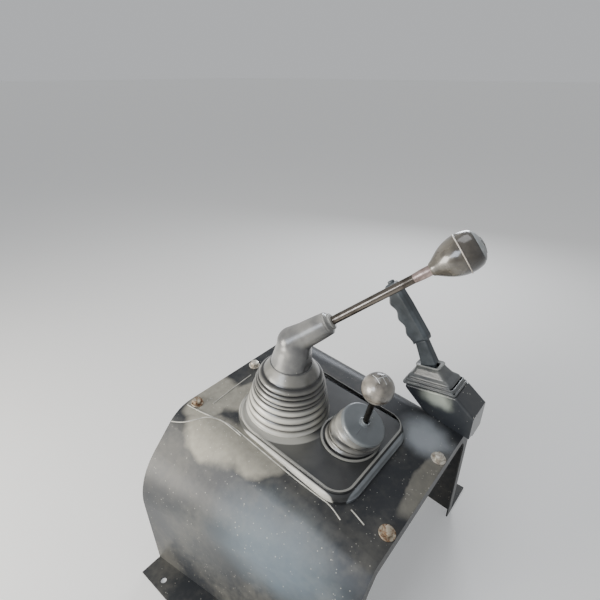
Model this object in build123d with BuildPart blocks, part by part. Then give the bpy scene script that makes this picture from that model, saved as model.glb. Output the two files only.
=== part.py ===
from build123d import *
from math import cos, radians, sin, sqrt
import os

# Transmission tunnel with its gear lever, transfer lever and handbrake. Millimetres; +X to the
# vehicle's right, +Y forward, +Z up. The origin is the middle of the floor flange bolts, at the
# underside of the flanges.

# Tunnel cover: an arch lofted from its front edge to its rear edge. Each side of an edge has a flat
# half width, a top radius, a straight bevel, a lower radius and a foot half width. The right side is
# broader at the rear, where the handbrake stands on it.
FRONT_Y = 161.0
REAR_Y = -166.0
FRONT_TOP = 262.0
REAR_TOP = 209.0
BEVEL_ANGLE = 45.0
FRONT_SIDE = (104.0, 58.0, 43.0, 111.0, 204.0)
REAR_LEFT_SIDE = (108.0, 24.0, 16.0, 46.0, 158.0)
REAR_RIGHT_SIDE = (140.0, 20.0, 8.0, 40.0, 176.0)
SKIN = 2.5
FLANGE_HALF_WIDTH = 236.0
FLANGE_EDGE = 14.0
FLANGE_BOLT_X = FLANGE_HALF_WIDTH - FLANGE_EDGE
FLANGE_BOLT_Y = 125.0
FLANGE_HOLE_R = 4.5
REAR_LIP = 14.0
OVERRUN = 20.0
SLICE = 900.0

# Clearances: between soft pieces and others, between bolted faces, and in radius at a pin.
FIT = 0.3
SEAT = 0.05
RUNNING = 0.04

# Lever plate frame: its origin is on the gear lever's axis at the plate's top face.
GEAR_X = -12.0
GEAR_Y = 51.0
PLATE_HEIGHT = 250.0
PLATE_SLOPE = 6.4
SLOPE_COS = cos(radians(PLATE_SLOPE))
SLOPE_SIN = sin(radians(PLATE_SLOPE))
PLATE = Plane(origin=(GEAR_X, GEAR_Y, PLATE_HEIGHT), x_dir=(1, 0, 0), z_dir=(0, -SLOPE_SIN, SLOPE_COS))

# Lever plate: the line of its crest in the plate's frame, and its border as steps down from the crest,
# each a distance outward and a height.
CREST_X0 = -73.0
CREST_X1 = 97.0
CREST_Y0 = -150.5
CREST_Y1 = 58.5
CREST_FRONT_R = 58.5
CREST_REAR_R = 27.0
CREST_WIDTH = 3.0
CREST_RISE = 1.4
BORDER = ((8.0, -9.0), (6.0, -4.0), (1.0, -0.8), (0.4, 0.0))
SKIRT = (8.6, -32.0)
BORDER_GROOVE = (0.9, 2.4, -2.4)
LEFT_SHARE = 0.75
RIGHT_SHARE = 0.3
GEAR_HOLE_R = 44.0
GEAR_FOOT_R = 62.5
FOOT_BOSS_EDGE = 1.0
TRANSFER_X = 20.0
TRANSFER_Y = -100.0
TRANSFER_HOLE_R = 27.0
TRANSFER_FOOT_R = 36.5
TRANSFER_RING_X = 14.0
TRANSFER_RING_Y = -103.0
TRANSFER_RING_R = 41.5
TRANSFER_RING_WIDTH = 2.5
TRANSFER_RING_RISE = 3.0

# Lever housing under the plate, inside a well in the tunnel's skin.
HOUSING_X0 = -50.0
HOUSING_X1 = 66.0
HOUSING_Y0 = -132.0
HOUSING_Y1 = 44.0
HOUSING_WALL = 5.0
HOUSING_BOTTOM = -94.5
HOUSING_CORNER_R = 12.0
HOUSING_FLANGE = 15.0
TOP_FLANGE_THICK = 20.0
TOP_FLANGE_CORNER_R = 20.0
BOTTOM_FLANGE_THICK = 8.0
WELL_CORNER_R = 8.0
WELL_REACH = 30.0
RIB = 7.0
RIB_HALF_HIGH = 12.0
RIB_GAP = 1.0
GEARBOX_BOLTS = 132.0
GEARBOX_HOLE_R = 4.5
HOUSING_MID = ((HOUSING_X0 + HOUSING_X1) / 2, (HOUSING_Y0 + HOUSING_Y1) / 2)
HOUSING_BROAD = HOUSING_X1 - HOUSING_X0
HOUSING_LONG = HOUSING_Y1 - HOUSING_Y0

# Each lever swings on a gate: the place where its two axes cross, the gate's half length, half width and
# half height, its pin radius, and the width, length and height of the lever's foot block.
GATES = {
    "gear": dict(x=0.0, y=0.0, z=-55.0, long=20.5, wide=22.0, high=9.0, pin_r=4.0, foot=(20.0, 13.0, 22.0)),
    "transfer": dict(x=TRANSFER_X, y=TRANSFER_Y, z=-26.0, long=19.5, wide=18.0, high=7.5, pin_r=3.5,
                     foot=(14.0, 12.0, 18.0)),
}
GATE_SIDE = 8.0
GATE_END = 7.0

# Gear gaiter: each fold's groove radius and height, and the radius of the bulge above it.
GAITER_WALL = 2.4
GAITER_FOOT_THICK = 3.0
GAITER_FOOT_STEP = (60.5, 4.5)
GAITER_HOLE_EDGE = 2.0
GAITER_HOLE_R = GEAR_HOLE_R + GAITER_HOLE_EDGE
GEAR_FOLDS = (
    (59.0, 9.0, 59.6), (56.2, 19.0, 57.2), (53.4, 31.0, 54.8), (50.9, 41.2, 52.3), (50.0, 47.0, 51.0),
    (46.9, 55.0, 48.4), (44.9, 61.0, 45.6),
)
CONE_FOOT = (40.4, 69.0)
CONE_TOP = (29.5, 84.0)

# Gear lever: it stands square to the plate up to an elbow, then leans back and to the right.
ELBOW_Z = 121.5
ELBOW_R = 40.0
KNOB_WAY = Vector(0.470, -0.620, 0.630).normalized()
KNOB_SIDE = (0, 1, 0.984)
ROD_R = 4.4
FINGER_Z = -96.0
FINGER_R = 7.5
FINGER_LONG = 14.0
FINGER_TIP_LONG = 3.0
NECK_FOOT = (-1.8, 0.8)
NECK_FOOT_R = 29.0
NECK_TOP_Z = 111.5
NECK_TOP_R = 24.5
ARM_START = -4.0
ARM_END = 53.0
ARM_TIP = 58.0
ARM_LAP = 0.5
ELBOW_INSET = 0.1
ARM_LOW_R = 21.0
ARM_HIGH_R = 13.5
ARM_TIP_R = 10.5
KNOB_START = 198.0
KNOB_LENGTH = 61.0
KNOB_FOOT_R = 8.0
KNOB_CURVE = ((16.6, 13.0), (23.2, 28.0), (25.6, 43.0))
KNOB_TOP_R = 19.5
KNOB_CAP_GAP = 0.6
KNOB_CAP_R = KNOB_TOP_R - KNOB_CAP_GAP
KNOB_CAP_RIM = 1.0
KNOB_CAP_DOME = 5.0
ROD_IN_KNOB = 12.0

# Transfer lever: a gaiter that leans back, a flat rubber cap on it, and a ball knob.
CAP_CENTRE = (21.5, -116.0, 34.0)
CAP_WAY = Vector(0.05, -0.36, 0.93).normalized()
CAP_R = 32.8
CAP_THICK = 9.0
CAP_EDGE_R = 2.5
CAP_NECK_R = 8.5
CAP_NECK_HIGH = 7.0
CAP_NECK_TAPER = 12.0
TRANSFER_KNOB = (18.0, -124.0, 105.0)
TRANSFER_KNOB_R = 21.0
TRANSFER_ROD_R = 4.2
TRANSFER_ROD_FOOT = -60.0
TRANSFER_BEND_R = 12.0
TRANSFER_WALL = 3.0
TRANSFER_FOOT_AHEAD = 1.0
TRANSFER_FOOT_RIGHT = 2.0
# the gaiter's rings, from its foot to the cap: share of the way up, radius
TRANSFER_RINGS = (
    (0.0, TRANSFER_FOOT_R), (0.1, TRANSFER_FOOT_R), (0.28, 34.0), (0.46, 36.5), (0.6, 32.5), (0.8, 34.5),
    (1.0, CAP_R - 1.5),
)

# Handbrake: its line lies in the plane x = BRAKE_X, given as y, z.
BRAKE_X = 163.0
BRAKE_PIVOT = (-120.6, 234.5)
BRAKE_MOUTH = (-88.0, 295.0)
GRIP_LOW = (-71.0, 327.0)
GRIP_TOP = (-5.0, 411.0)
PIVOT_R = 5.0
PIVOT_HEAD_R = 8.0
PIVOT_HEAD_HIGH = 3.0
PIVOT_OUT = 2.0
CONSOLE_X0 = 138.0
CONSOLE_X1 = 190.0
CONSOLE_WALL = 2.5
CONSOLE_FRONT = (-57.0, 254.5)
CONSOLE_CREST = (-144.0, 269.0)
CONSOLE_REAR = (-174.0, 247.0)
CONSOLE_REAR_FOOT = (-174.0, 200.0)
CONSOLE_FOOT = (-96.0, 222.0)
CONSOLE_DROP = (-156.0, 172.0)
CONSOLE_NOSE_R = 5.0
CONSOLE_EDGE_R = 4.0
SLOT_LONG = 72.0
SLOT_BROAD = 26.0
SLOT_CORNER_R = 6.0
SLOT_AHEAD = 3.0
SLOT_REACH = 10.0

# The bracket is a pressed channel on the tunnel's shoulder with legs down to its flank.
BRACKET_Y0 = -148.0
BRACKET_Y1 = -104.0
BRACKET_SHEET = 4.0
BRACKET_FLOOR = 216.0
BRACKET_SHOULDER = 212.0
BRACKET_TOP = 260.0
BRACKET_FOOT = 165.0
CHEEK_LEFT = 147.0
CHEEK_RIGHT = 175.0
CHEEK_R = 16.0

# Handbrake lever: a thin bar through the slot, a boss on the pivot, a shroud above the console and a
# tube in the grip. Shroud: distance up from the pivot, width, depth.
SHROUD = ((66.5, 16.0, 25.0), (107.0, 14.0, 19.0))
SHROUD_CORNER_R = 3.0
BAR = (8.0, 16.0)
BAR_CORNER_R = 2.0
BOSS_BROAD = 14.0
BOSS_R = 12.0
TUBE = (10.0, 14.0)
TUBE_CORNER_R = 3.0
TUBE_START = -4.0
TUBE_LONG = 93.0
# the grip's side outline along its line: distance, height over the line
GRIP_BROAD = 21.0
GRIP_EDGE = 4.5
GRIP_BACK = ((0.0, 13.5), (6.0, 15.5), (60.0, 14.5), (94.0, 12.0), (101.0, 6.5))
GRIP_FRONT = ((101.0, -7.0), (96.0, -12.5), (84.0, -12.0), (72.0, -17.5), (59.0, -12.5), (45.0, -17.0),
              (32.0, -12.5), (19.0, -17.0), (8.0, -14.0), (0.0, -14.0))
BUTTON_R = 5.5
BUTTON_HIGH = 4.0
BUTTON_EDGE_R = 2.0
# the gaiter's tiers: height over the console, width, length, shift forward
TIERS = (
    (0.0, 50.0, 86.0, 0.0), (4.0, 50.0, 86.0, 0.0), (4.5, 46.0, 79.0, 0.0), (9.0, 46.0, 79.0, 0.5),
    (9.5, 42.0, 72.0, 1.0), (13.5, 41.0, 70.0, 1.5), (18.0, 33.0, 56.0, 3.0), (27.0, 27.0, 42.0, 5.0),
    (30.5, 26.0, 38.0, 6.0), (33.0, 26.0, 38.0, 6.0),
)
TIER_WALL = 2.2
TIER_CORNER_R = 5.0

# Edge bolts: x, y and washer radius of each; they stand on the tunnel's sloping top.
EDGE_BOLTS = {
    "front_bolt_left": (-103.0, 149.0, 9.0),
    "front_bolt_mid": (16.0, 149.0, 9.0),
    "front_bolt_right": (96.0, 149.0, 9.0),
    "rear_bolt_left": (-72.0, -155.0, 10.5),
    "rear_bolt_right": (72.0, -155.0, 10.5),
}
WASHER_THICK = 1.8
HEX_ACROSS_CORNERS_R = 7.0
HEX_HIGH = 6.0
TOP_FALL = (FRONT_TOP - REAR_TOP) / (FRONT_Y - REAR_Y)


def plate_point(x, y, z):
    """A point given in the lever plate's frame."""
    return PLATE.from_local_coords(Vector(x, y, z))


def plate_plane(point, direction, across=(1, 0, 0)):
    """A plane whose origin and normal are given in the lever plate's frame."""
    origin = plate_point(*point)
    normal = plate_point(*(Vector(*point) + Vector(*direction))) - origin
    side = plate_point(*(Vector(*point) + Vector(*across))) - origin
    return Plane(origin=origin, x_dir=side, z_dir=normal)


def cross_plane(gate):
    """A plane square to X at the left end of a gate's cross pin."""
    return plate_plane((gate["x"] - gate["wide"], gate["y"], gate["z"]), (1, 0, 0), (0, 1, 0))


def side_plane(x):
    """A plane across the vehicle at x, with its own axes along Y and Z."""
    return Plane(origin=(x, 0, 0), x_dir=(0, 1, 0), z_dir=(1, 0, 0))


def side_points(flat, top_r, bevel, low_r, foot, top, grow, bottom):
    """One side of the arch, from the flat's end to the foot: the ends and middles of its arcs."""
    lean = radians(BEVEL_ANGLE)
    half = lean / 2
    rest = (lean + radians(90)) / 2
    r = top_r + grow
    x = flat + r * sin(lean)
    z = top - top_r + r * cos(lean)
    points = [(flat, top + grow), (flat + r * sin(half), top - top_r + r * cos(half)), (x, z)]
    x += bevel * cos(lean)
    z -= bevel * sin(lean)
    points.append((x, z))
    mid_x = x - (low_r + grow) * sin(lean)
    mid_z = z - (low_r + grow) * cos(lean)
    points.append((mid_x + (low_r + grow) * sin(rest), mid_z + (low_r + grow) * cos(rest)))
    points.append((mid_x + low_r + grow, mid_z))
    points.append((foot + grow, bottom))
    return points


def tunnel_section(share, grow, bottom):
    """The arch's outline a share of the way from the front edge to the rear edge."""
    y = FRONT_Y + share * (REAR_Y - FRONT_Y)
    top = FRONT_TOP + share * (REAR_TOP - FRONT_TOP)
    sides = []
    for rear_side in (REAR_LEFT_SIDE, REAR_RIGHT_SIDE):
        sizes = [front + share * (rear - front) for front, rear in zip(FRONT_SIDE, rear_side)]
        sides.append(side_points(*sizes, top, grow, bottom))
    left = [(-x, z) for x, z in sides[0]]
    right = sides[1]
    with BuildSketch(Plane(origin=(0, y, 0), x_dir=(1, 0, 0), z_dir=(0, -1, 0))) as section:
        with BuildLine():
            for p in (left, right):
                ThreePointArc(p[0], p[1], p[2])
                Line(p[2], p[3])
                ThreePointArc(p[3], p[4], p[5])
                Line(p[5], p[6])
            Line(left[0], right[0])
            Line(left[6], right[6])
        make_face()
    return section.sketch


def tunnel_solid(grow, bottom, overrun=0.0):
    """The space under the arch from the front edge to the rear edge, its ends run on by a distance."""
    share = overrun / (FRONT_Y - REAR_Y)
    return loft([tunnel_section(-share, grow, bottom), tunnel_section(1 + share, grow, bottom)], ruled=True)


def crest_outline(outward):
    """The lever plate's outline, moved outward from the crest by a distance, less at its sides."""
    x0 = CREST_X0 - outward * LEFT_SHARE
    x1 = CREST_X1 + outward * RIGHT_SHARE
    y0 = CREST_Y0 - outward
    y1 = CREST_Y1 + outward
    front_r = CREST_FRONT_R + outward
    rear_r = CREST_REAR_R + outward
    corners = (
        (x1 - rear_r, y0 + rear_r, rear_r, -90), (x1 - front_r, y1 - front_r, front_r, 0),
        (x0 + front_r, y1 - front_r, front_r, 90), (x0 + rear_r, y0 + rear_r, rear_r, 180),
    )
    with BuildSketch() as outline:
        with BuildLine():
            Line((x0 + rear_r, y0), (x1 - rear_r, y0))
            Line((x1, y0 + rear_r), (x1, y1 - front_r))
            Line((x1 - front_r, y1), (x0 + front_r, y1))
            Line((x0, y1 - front_r), (x0, y0 + rear_r))
            for x, y, r, turn in corners:
                CenterArc((x, y), r, turn, 90)
        make_face()
    return outline.sketch


# the arch as a body, the same with its ends run on, and the space under its skin
arch = tunnel_solid(0, 0)
long_arch = tunnel_solid(0, 0, OVERRUN)
arch_hollow = tunnel_solid(-SKIN, -1.0, OVERRUN)
under_skin = tunnel_solid(-SKIN - SEAT, -1.0, OVERRUN)
# the lip turned down at the rear edge, which stiffens it
rear_slice = Pos(0, REAR_Y + SKIN / 2, 0) * Box(SLICE, SKIN, SLICE)
rear_lip = (arch & rear_slice) - tunnel_solid(-SKIN - REAR_LIP, -1.0, OVERRUN)

with BuildPart() as tunnel_cover:
    add(arch)
    with BuildSketch(Plane.XY) as floor_flange:
        with Locations((0, (FRONT_Y + REAR_Y) / 2)):
            Rectangle(2 * FLANGE_HALF_WIDTH, FRONT_Y - REAR_Y)
    extrude(amount=SKIN)
    add(arch_hollow, mode=Mode.SUBTRACT)
    add(rear_lip)
    with BuildSketch(PLATE.offset(-WELL_REACH)) as well:
        with Locations(HOUSING_MID):
            RectangleRounded(HOUSING_BROAD - 2 * HOUSING_WALL, HOUSING_LONG - 2 * HOUSING_WALL, WELL_CORNER_R)
    extrude(amount=2 * WELL_REACH, mode=Mode.SUBTRACT)
    with BuildSketch(Plane.XY) as floor_holes:
        with GridLocations(2 * FLANGE_BOLT_X, 2 * FLANGE_BOLT_Y, 2, 2):
            Circle(FLANGE_HOLE_R)
    extrude(amount=SKIN, mode=Mode.SUBTRACT)

# The plate is a wedge that fills the space between its level top and the tunnel's skin.
with BuildPart() as lever_plate:
    for outward, height in BORDER:
        with BuildSketch(PLATE.offset(height)) as step_outline:
            add(crest_outline(outward))
    loft(ruled=True)
    with BuildSketch(PLATE.offset(SKIRT[1])) as skirt_outline:
        add(crest_outline(SKIRT[0]))
    extrude(amount=BORDER[0][1] - SKIRT[1])
    groove_in, groove_out, groove_z = BORDER_GROOVE
    with BuildSketch(PLATE.offset(groove_z)) as border_groove:
        add(crest_outline(groove_out))
        add(crest_outline(groove_in), mode=Mode.SUBTRACT)
    extrude(amount=-groove_z, mode=Mode.SUBTRACT)
    with BuildSketch(PLATE.offset(SKIRT[1])) as foot_boss:
        Circle(GEAR_FOOT_R + FOOT_BOSS_EDGE)
    extrude(amount=-SKIRT[1])
    with BuildSketch(PLATE) as crest_band:
        add(crest_outline(0))
        add(crest_outline(-CREST_WIDTH), mode=Mode.SUBTRACT)
        Circle(GEAR_FOOT_R + FIT, mode=Mode.SUBTRACT)
    extrude(amount=CREST_RISE)
    with BuildSketch(PLATE) as transfer_ring:
        with Locations((TRANSFER_RING_X, TRANSFER_RING_Y)):
            Circle(TRANSFER_RING_R)
            Circle(TRANSFER_RING_R - TRANSFER_RING_WIDTH, mode=Mode.SUBTRACT)
        Circle(GEAR_FOOT_R + FIT, mode=Mode.SUBTRACT)
    extrude(amount=TRANSFER_RING_RISE)
    with BuildSketch(PLATE.offset(SKIRT[1])) as lever_holes:
        Circle(GEAR_HOLE_R)
        with Locations((TRANSFER_X, TRANSFER_Y)):
            Circle(TRANSFER_HOLE_R)
    extrude(amount=-2 * SKIRT[1], mode=Mode.SUBTRACT)
    add(long_arch, mode=Mode.SUBTRACT)

with BuildPart() as gear_gaiter:
    with BuildSketch(plate_plane((0, 0, 0), (0, -1, 0))) as gear_fold_section:
        with BuildLine():
            Polyline((GEAR_FOOT_R, 0), (GEAR_FOOT_R, GAITER_FOOT_THICK), GAITER_FOOT_STEP, GEAR_FOLDS[0][:2])
            fold_ends = [fold[:2] for fold in GEAR_FOLDS[1:]] + [CONE_FOOT]
            for (groove_r, groove_z, bulge_r), (next_r, next_z) in zip(GEAR_FOLDS, fold_ends):
                ThreePointArc((groove_r, groove_z), (bulge_r, (groove_z + next_z) / 2), (next_r, next_z))
            inner = [(r - GAITER_WALL, z) for r, z, bulge_r in GEAR_FOLDS]
            Polyline(CONE_FOOT, CONE_TOP, (CONE_TOP[0] - GAITER_WALL, CONE_TOP[1]),
                     (CONE_FOOT[0] - GAITER_WALL, CONE_FOOT[1] - 1), *reversed(inner),
                     (GAITER_HOLE_R, GAITER_FOOT_THICK), (GAITER_HOLE_R, 0), (GEAR_FOOT_R, 0))
        make_face()
    revolve(axis=Axis(plate_point(0, 0, 0), PLATE.z_dir))


def along(distance):
    """A point on the upper part of the gear lever, in the plate's frame."""
    return Vector(0, 0, ELBOW_Z) + KNOB_WAY * distance


def knob_plane(distance):
    """A plane square to the upper part of the gear lever."""
    return plate_plane(tuple(along(distance)), tuple(KNOB_WAY), KNOB_SIDE)


def knob_profile_plane(distance):
    """A plane through the upper part of the gear lever: its own axes are the radius and the way up."""
    square = knob_plane(0)
    return Plane(origin=plate_point(*along(distance)), x_dir=square.x_dir, z_dir=-square.y_dir)


gear = GATES["gear"]
with BuildPart() as gear_rod:
    with BuildLine() as rod_line:
        FilletPolyline(plate_point(0, 0, FINGER_Z), plate_point(0, 0, ELBOW_Z),
                       plate_point(*along(KNOB_START + ROD_IN_KNOB)), radius=ELBOW_R)
    with BuildSketch(Plane(origin=rod_line.line @ 0, z_dir=rod_line.line % 0)):
        Circle(ROD_R)
    sweep()
    foot_broad, foot_long, foot_high = gear["foot"]
    with BuildSketch(PLATE.offset(gear["z"] - foot_high / 2)) as foot_block:
        Rectangle(foot_broad, foot_long)
    extrude(amount=foot_high)
    with BuildSketch(PLATE.offset(FINGER_Z - FINGER_LONG / 2 + FINGER_TIP_LONG)) as finger_end:
        Circle(FINGER_R)
    extrude(amount=FINGER_LONG)
    with BuildSketch(cross_plane(gear)) as foot_bore:
        Circle(gear["pin_r"] + RUNNING)
    extrude(amount=2 * gear["wide"], mode=Mode.SUBTRACT)

with BuildPart() as gear_sleeve:
    with BuildSketch(plate_plane((*NECK_FOOT, CONE_TOP[1] + FIT), (0, 0, 1))) as neck_low:
        Circle(NECK_FOOT_R)
    with BuildSketch(PLATE.offset(NECK_TOP_Z)) as neck_high:
        Circle(NECK_TOP_R)
    loft(ruled=True)
    with Locations(plate_point(0, 0, NECK_TOP_Z)):
        Sphere(NECK_TOP_R - ELBOW_INSET)
    with BuildSketch(knob_plane(ARM_START)) as arm_low:
        Circle(ARM_LOW_R)
    with BuildSketch(knob_plane(ARM_END)) as arm_high:
        Circle(ARM_HIGH_R)
    loft(ruled=True)
    with Locations(plate_point(*along(ARM_START))):
        Sphere(ARM_LOW_R - ELBOW_INSET)
    with BuildSketch(knob_plane(ARM_END - ARM_LAP)) as arm_tip:
        Circle(ARM_TIP_R)
    extrude(amount=ARM_TIP - ARM_END + ARM_LAP)
    add(gear_rod.part, mode=Mode.SUBTRACT)

with BuildPart() as gear_knob:
    with BuildSketch(knob_profile_plane(KNOB_START)) as knob_section:
        with BuildLine():
            low, waist, belly = KNOB_CURVE
            Line((0, 0), (KNOB_FOOT_R, 0))
            ThreePointArc((KNOB_FOOT_R, 0), low, waist)
            ThreePointArc(waist, belly, (KNOB_TOP_R, KNOB_LENGTH))
            Line((KNOB_TOP_R, KNOB_LENGTH), (0, KNOB_LENGTH))
            Line((0, KNOB_LENGTH), (0, 0))
        make_face()
    revolve(axis=Axis(plate_point(*along(0)), knob_plane(0).z_dir))
    add(gear_rod.part, mode=Mode.SUBTRACT)

dome_r = (KNOB_CAP_R ** 2 + KNOB_CAP_DOME ** 2) / (2 * KNOB_CAP_DOME)
dome_top = KNOB_CAP_RIM + KNOB_CAP_DOME
dome_mid = (KNOB_CAP_R / 2, dome_top - dome_r + sqrt(dome_r ** 2 - KNOB_CAP_R ** 2 / 4))
with BuildPart() as gear_knob_cap:
    with BuildSketch(knob_profile_plane(KNOB_START + KNOB_LENGTH)) as cap_section:
        with BuildLine():
            Polyline((0, dome_top), (0, 0), (KNOB_CAP_R, 0), (KNOB_CAP_R, KNOB_CAP_RIM))
            ThreePointArc((KNOB_CAP_R, KNOB_CAP_RIM), dome_mid, (0, dome_top))
        make_face()
    revolve(axis=Axis(plate_point(*along(0)), knob_plane(0).z_dir))

transfer = GATES["transfer"]
cap_centre = Vector(*CAP_CENTRE)
transfer_foot = Vector(TRANSFER_RING_X + TRANSFER_FOOT_RIGHT, TRANSFER_RING_Y + TRANSFER_FOOT_AHEAD, 0)
with BuildPart() as transfer_rod:
    with BuildLine() as transfer_line:
        FilletPolyline(plate_point(TRANSFER_X, TRANSFER_Y, TRANSFER_ROD_FOOT),
                       plate_point(TRANSFER_X, TRANSFER_Y, 0), plate_point(*CAP_CENTRE),
                       plate_point(*TRANSFER_KNOB), radius=TRANSFER_BEND_R)
    with BuildSketch(Plane(origin=transfer_line.line @ 0, z_dir=transfer_line.line % 0)):
        Circle(TRANSFER_ROD_R)
    sweep()
    foot_broad, foot_long, foot_high = transfer["foot"]
    with BuildSketch(PLATE.offset(transfer["z"] - foot_high / 2)) as small_foot:
        with Locations((TRANSFER_X, TRANSFER_Y)):
            Rectangle(foot_broad, foot_long)
    extrude(amount=foot_high)
    with BuildSketch(cross_plane(transfer)) as small_bore:
        Circle(transfer["pin_r"] + RUNNING)
    extrude(amount=2 * transfer["wide"], mode=Mode.SUBTRACT)

with BuildPart() as transfer_cap:
    with BuildSketch(plate_plane(tuple(cap_centre - CAP_WAY * CAP_THICK), tuple(CAP_WAY))) as cap_low:
        Circle(CAP_R)
    extrude(amount=CAP_THICK - 1)
    fillet(transfer_cap.edges().filter_by(GeomType.CIRCLE), radius=CAP_EDGE_R)
    with BuildSketch(plate_plane(tuple(cap_centre - CAP_WAY), tuple(CAP_WAY))) as cap_neck:
        Circle(CAP_NECK_R)
    extrude(amount=CAP_NECK_HIGH, taper=CAP_NECK_TAPER)
    add(transfer_rod.part, mode=Mode.SUBTRACT)

with BuildPart() as transfer_knob:
    with Locations(plate_point(*TRANSFER_KNOB)):
        Sphere(TRANSFER_KNOB_R)
    add(transfer_rod.part, mode=Mode.SUBTRACT)

with BuildPart() as transfer_gaiter:
    for inset, mode in ((0, Mode.ADD), (TRANSFER_WALL, Mode.SUBTRACT)):
        for share, radius in TRANSFER_RINGS:
            way = Vector(0, 0, 1) * (1 - share) + CAP_WAY * share
            middle = transfer_foot + (cap_centre - CAP_WAY * (CAP_THICK + FIT) - transfer_foot) * share
            with BuildSketch(plate_plane(tuple(middle), tuple(way))) as fold_ring:
                Circle(radius - inset)
        loft(ruled=True, mode=mode)

# The housing's ribs carry the gates' pins.
with BuildPart() as lever_housing:
    with BuildSketch(PLATE.offset(HOUSING_BOTTOM)) as housing_outline:
        with Locations(HOUSING_MID):
            RectangleRounded(HOUSING_BROAD, HOUSING_LONG, HOUSING_CORNER_R)
    extrude(amount=-HOUSING_BOTTOM)
    with BuildSketch(PLATE.offset(-TOP_FLANGE_THICK)) as top_flange:
        with Locations(HOUSING_MID):
            RectangleRounded(HOUSING_BROAD + 2 * HOUSING_FLANGE, HOUSING_LONG + 2 * HOUSING_FLANGE,
                             TOP_FLANGE_CORNER_R)
    extrude(amount=TOP_FLANGE_THICK)
    with BuildSketch(PLATE.offset(HOUSING_BOTTOM)) as bottom_flange:
        with Locations(HOUSING_MID):
            RectangleRounded(HOUSING_BROAD + 2 * HOUSING_FLANGE, HOUSING_LONG, HOUSING_CORNER_R)
    extrude(amount=BOTTOM_FLANGE_THICK)
    with BuildSketch(PLATE.offset(HOUSING_BOTTOM)) as housing_hollow:
        with Locations(HOUSING_MID):
            RectangleRounded(HOUSING_BROAD - 2 * HOUSING_WALL, HOUSING_LONG - 2 * HOUSING_WALL, WELL_CORNER_R)
    extrude(amount=-HOUSING_BOTTOM, mode=Mode.SUBTRACT)
    for gate in GATES.values():
        for sign in (1, -1):
            rib_y = gate["y"] + sign * (gate["long"] + RIB_GAP + RIB / 2)
            with BuildSketch(PLATE.offset(gate["z"] - RIB_HALF_HIGH)) as rib_outline:
                with Locations((HOUSING_MID[0], rib_y)):
                    Rectangle(HOUSING_BROAD - HOUSING_WALL, RIB)
            extrude(amount=2 * RIB_HALF_HIGH)
    add(under_skin, mode=Mode.INTERSECT)
    for gate in GATES.values():
        reach = gate["long"] + RIB + 2 * RIB_GAP
        with BuildSketch(plate_plane((gate["x"], gate["y"] - reach, gate["z"]), (0, 1, 0))) as pin_bore:
            Circle(gate["pin_r"] + RUNNING)
        extrude(amount=2 * reach, mode=Mode.SUBTRACT)
    with BuildSketch(PLATE.offset(HOUSING_BOTTOM)) as gearbox_holes:
        with Locations(HOUSING_MID):
            with GridLocations(GEARBOX_BOLTS, GEARBOX_BOLTS, 2, 2):
                Circle(GEARBOX_HOLE_R)
    extrude(amount=BOTTOM_FLANGE_THICK + 1, mode=Mode.SUBTRACT)

gate_parts = {}
for name, gate in GATES.items():
    with BuildPart() as ring:
        with BuildSketch(PLATE.offset(gate["z"] - gate["high"])) as ring_outline:
            with Locations((gate["x"], gate["y"])):
                Rectangle(2 * gate["wide"], 2 * gate["long"])
                Rectangle(2 * (gate["wide"] - GATE_SIDE), 2 * (gate["long"] - GATE_END), mode=Mode.SUBTRACT)
        extrude(amount=2 * gate["high"])
        for sign in (1, -1):
            stub = (gate["x"], gate["y"] + sign * (gate["long"] - 1), gate["z"])
            with BuildSketch(plate_plane(stub, (0, sign, 0))) as gate_pin:
                Circle(gate["pin_r"])
            extrude(amount=RIB + 1 + RIB_GAP)
        with BuildSketch(cross_plane(gate)) as cross_bore:
            Circle(gate["pin_r"])
        extrude(amount=2 * gate["wide"], mode=Mode.SUBTRACT)
    gate_parts[f"{name}_gate"] = ring
    with BuildPart() as cross_pin:
        with BuildSketch(cross_plane(gate)) as pin_section:
            Circle(gate["pin_r"])
        extrude(amount=2 * gate["wide"])
    gate_parts[f"{name}_cross_pin"] = cross_pin

# the console's sloping top, where the gaiter sits
CONSOLE_MIDDLE = ((CONSOLE_FRONT[0] + CONSOLE_CREST[0]) / 2, (CONSOLE_FRONT[1] + CONSOLE_CREST[1]) / 2)
CONSOLE_RISE = Vector(0, CONSOLE_FRONT[0] - CONSOLE_CREST[0], CONSOLE_FRONT[1] - CONSOLE_CREST[1])
CONSOLE_UP = Vector(1, 0, 0).cross(CONSOLE_RISE)
CONSOLE_TOP = Plane(origin=(BRAKE_X, *CONSOLE_MIDDLE), x_dir=(1, 0, 0), z_dir=CONSOLE_UP)

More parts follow.
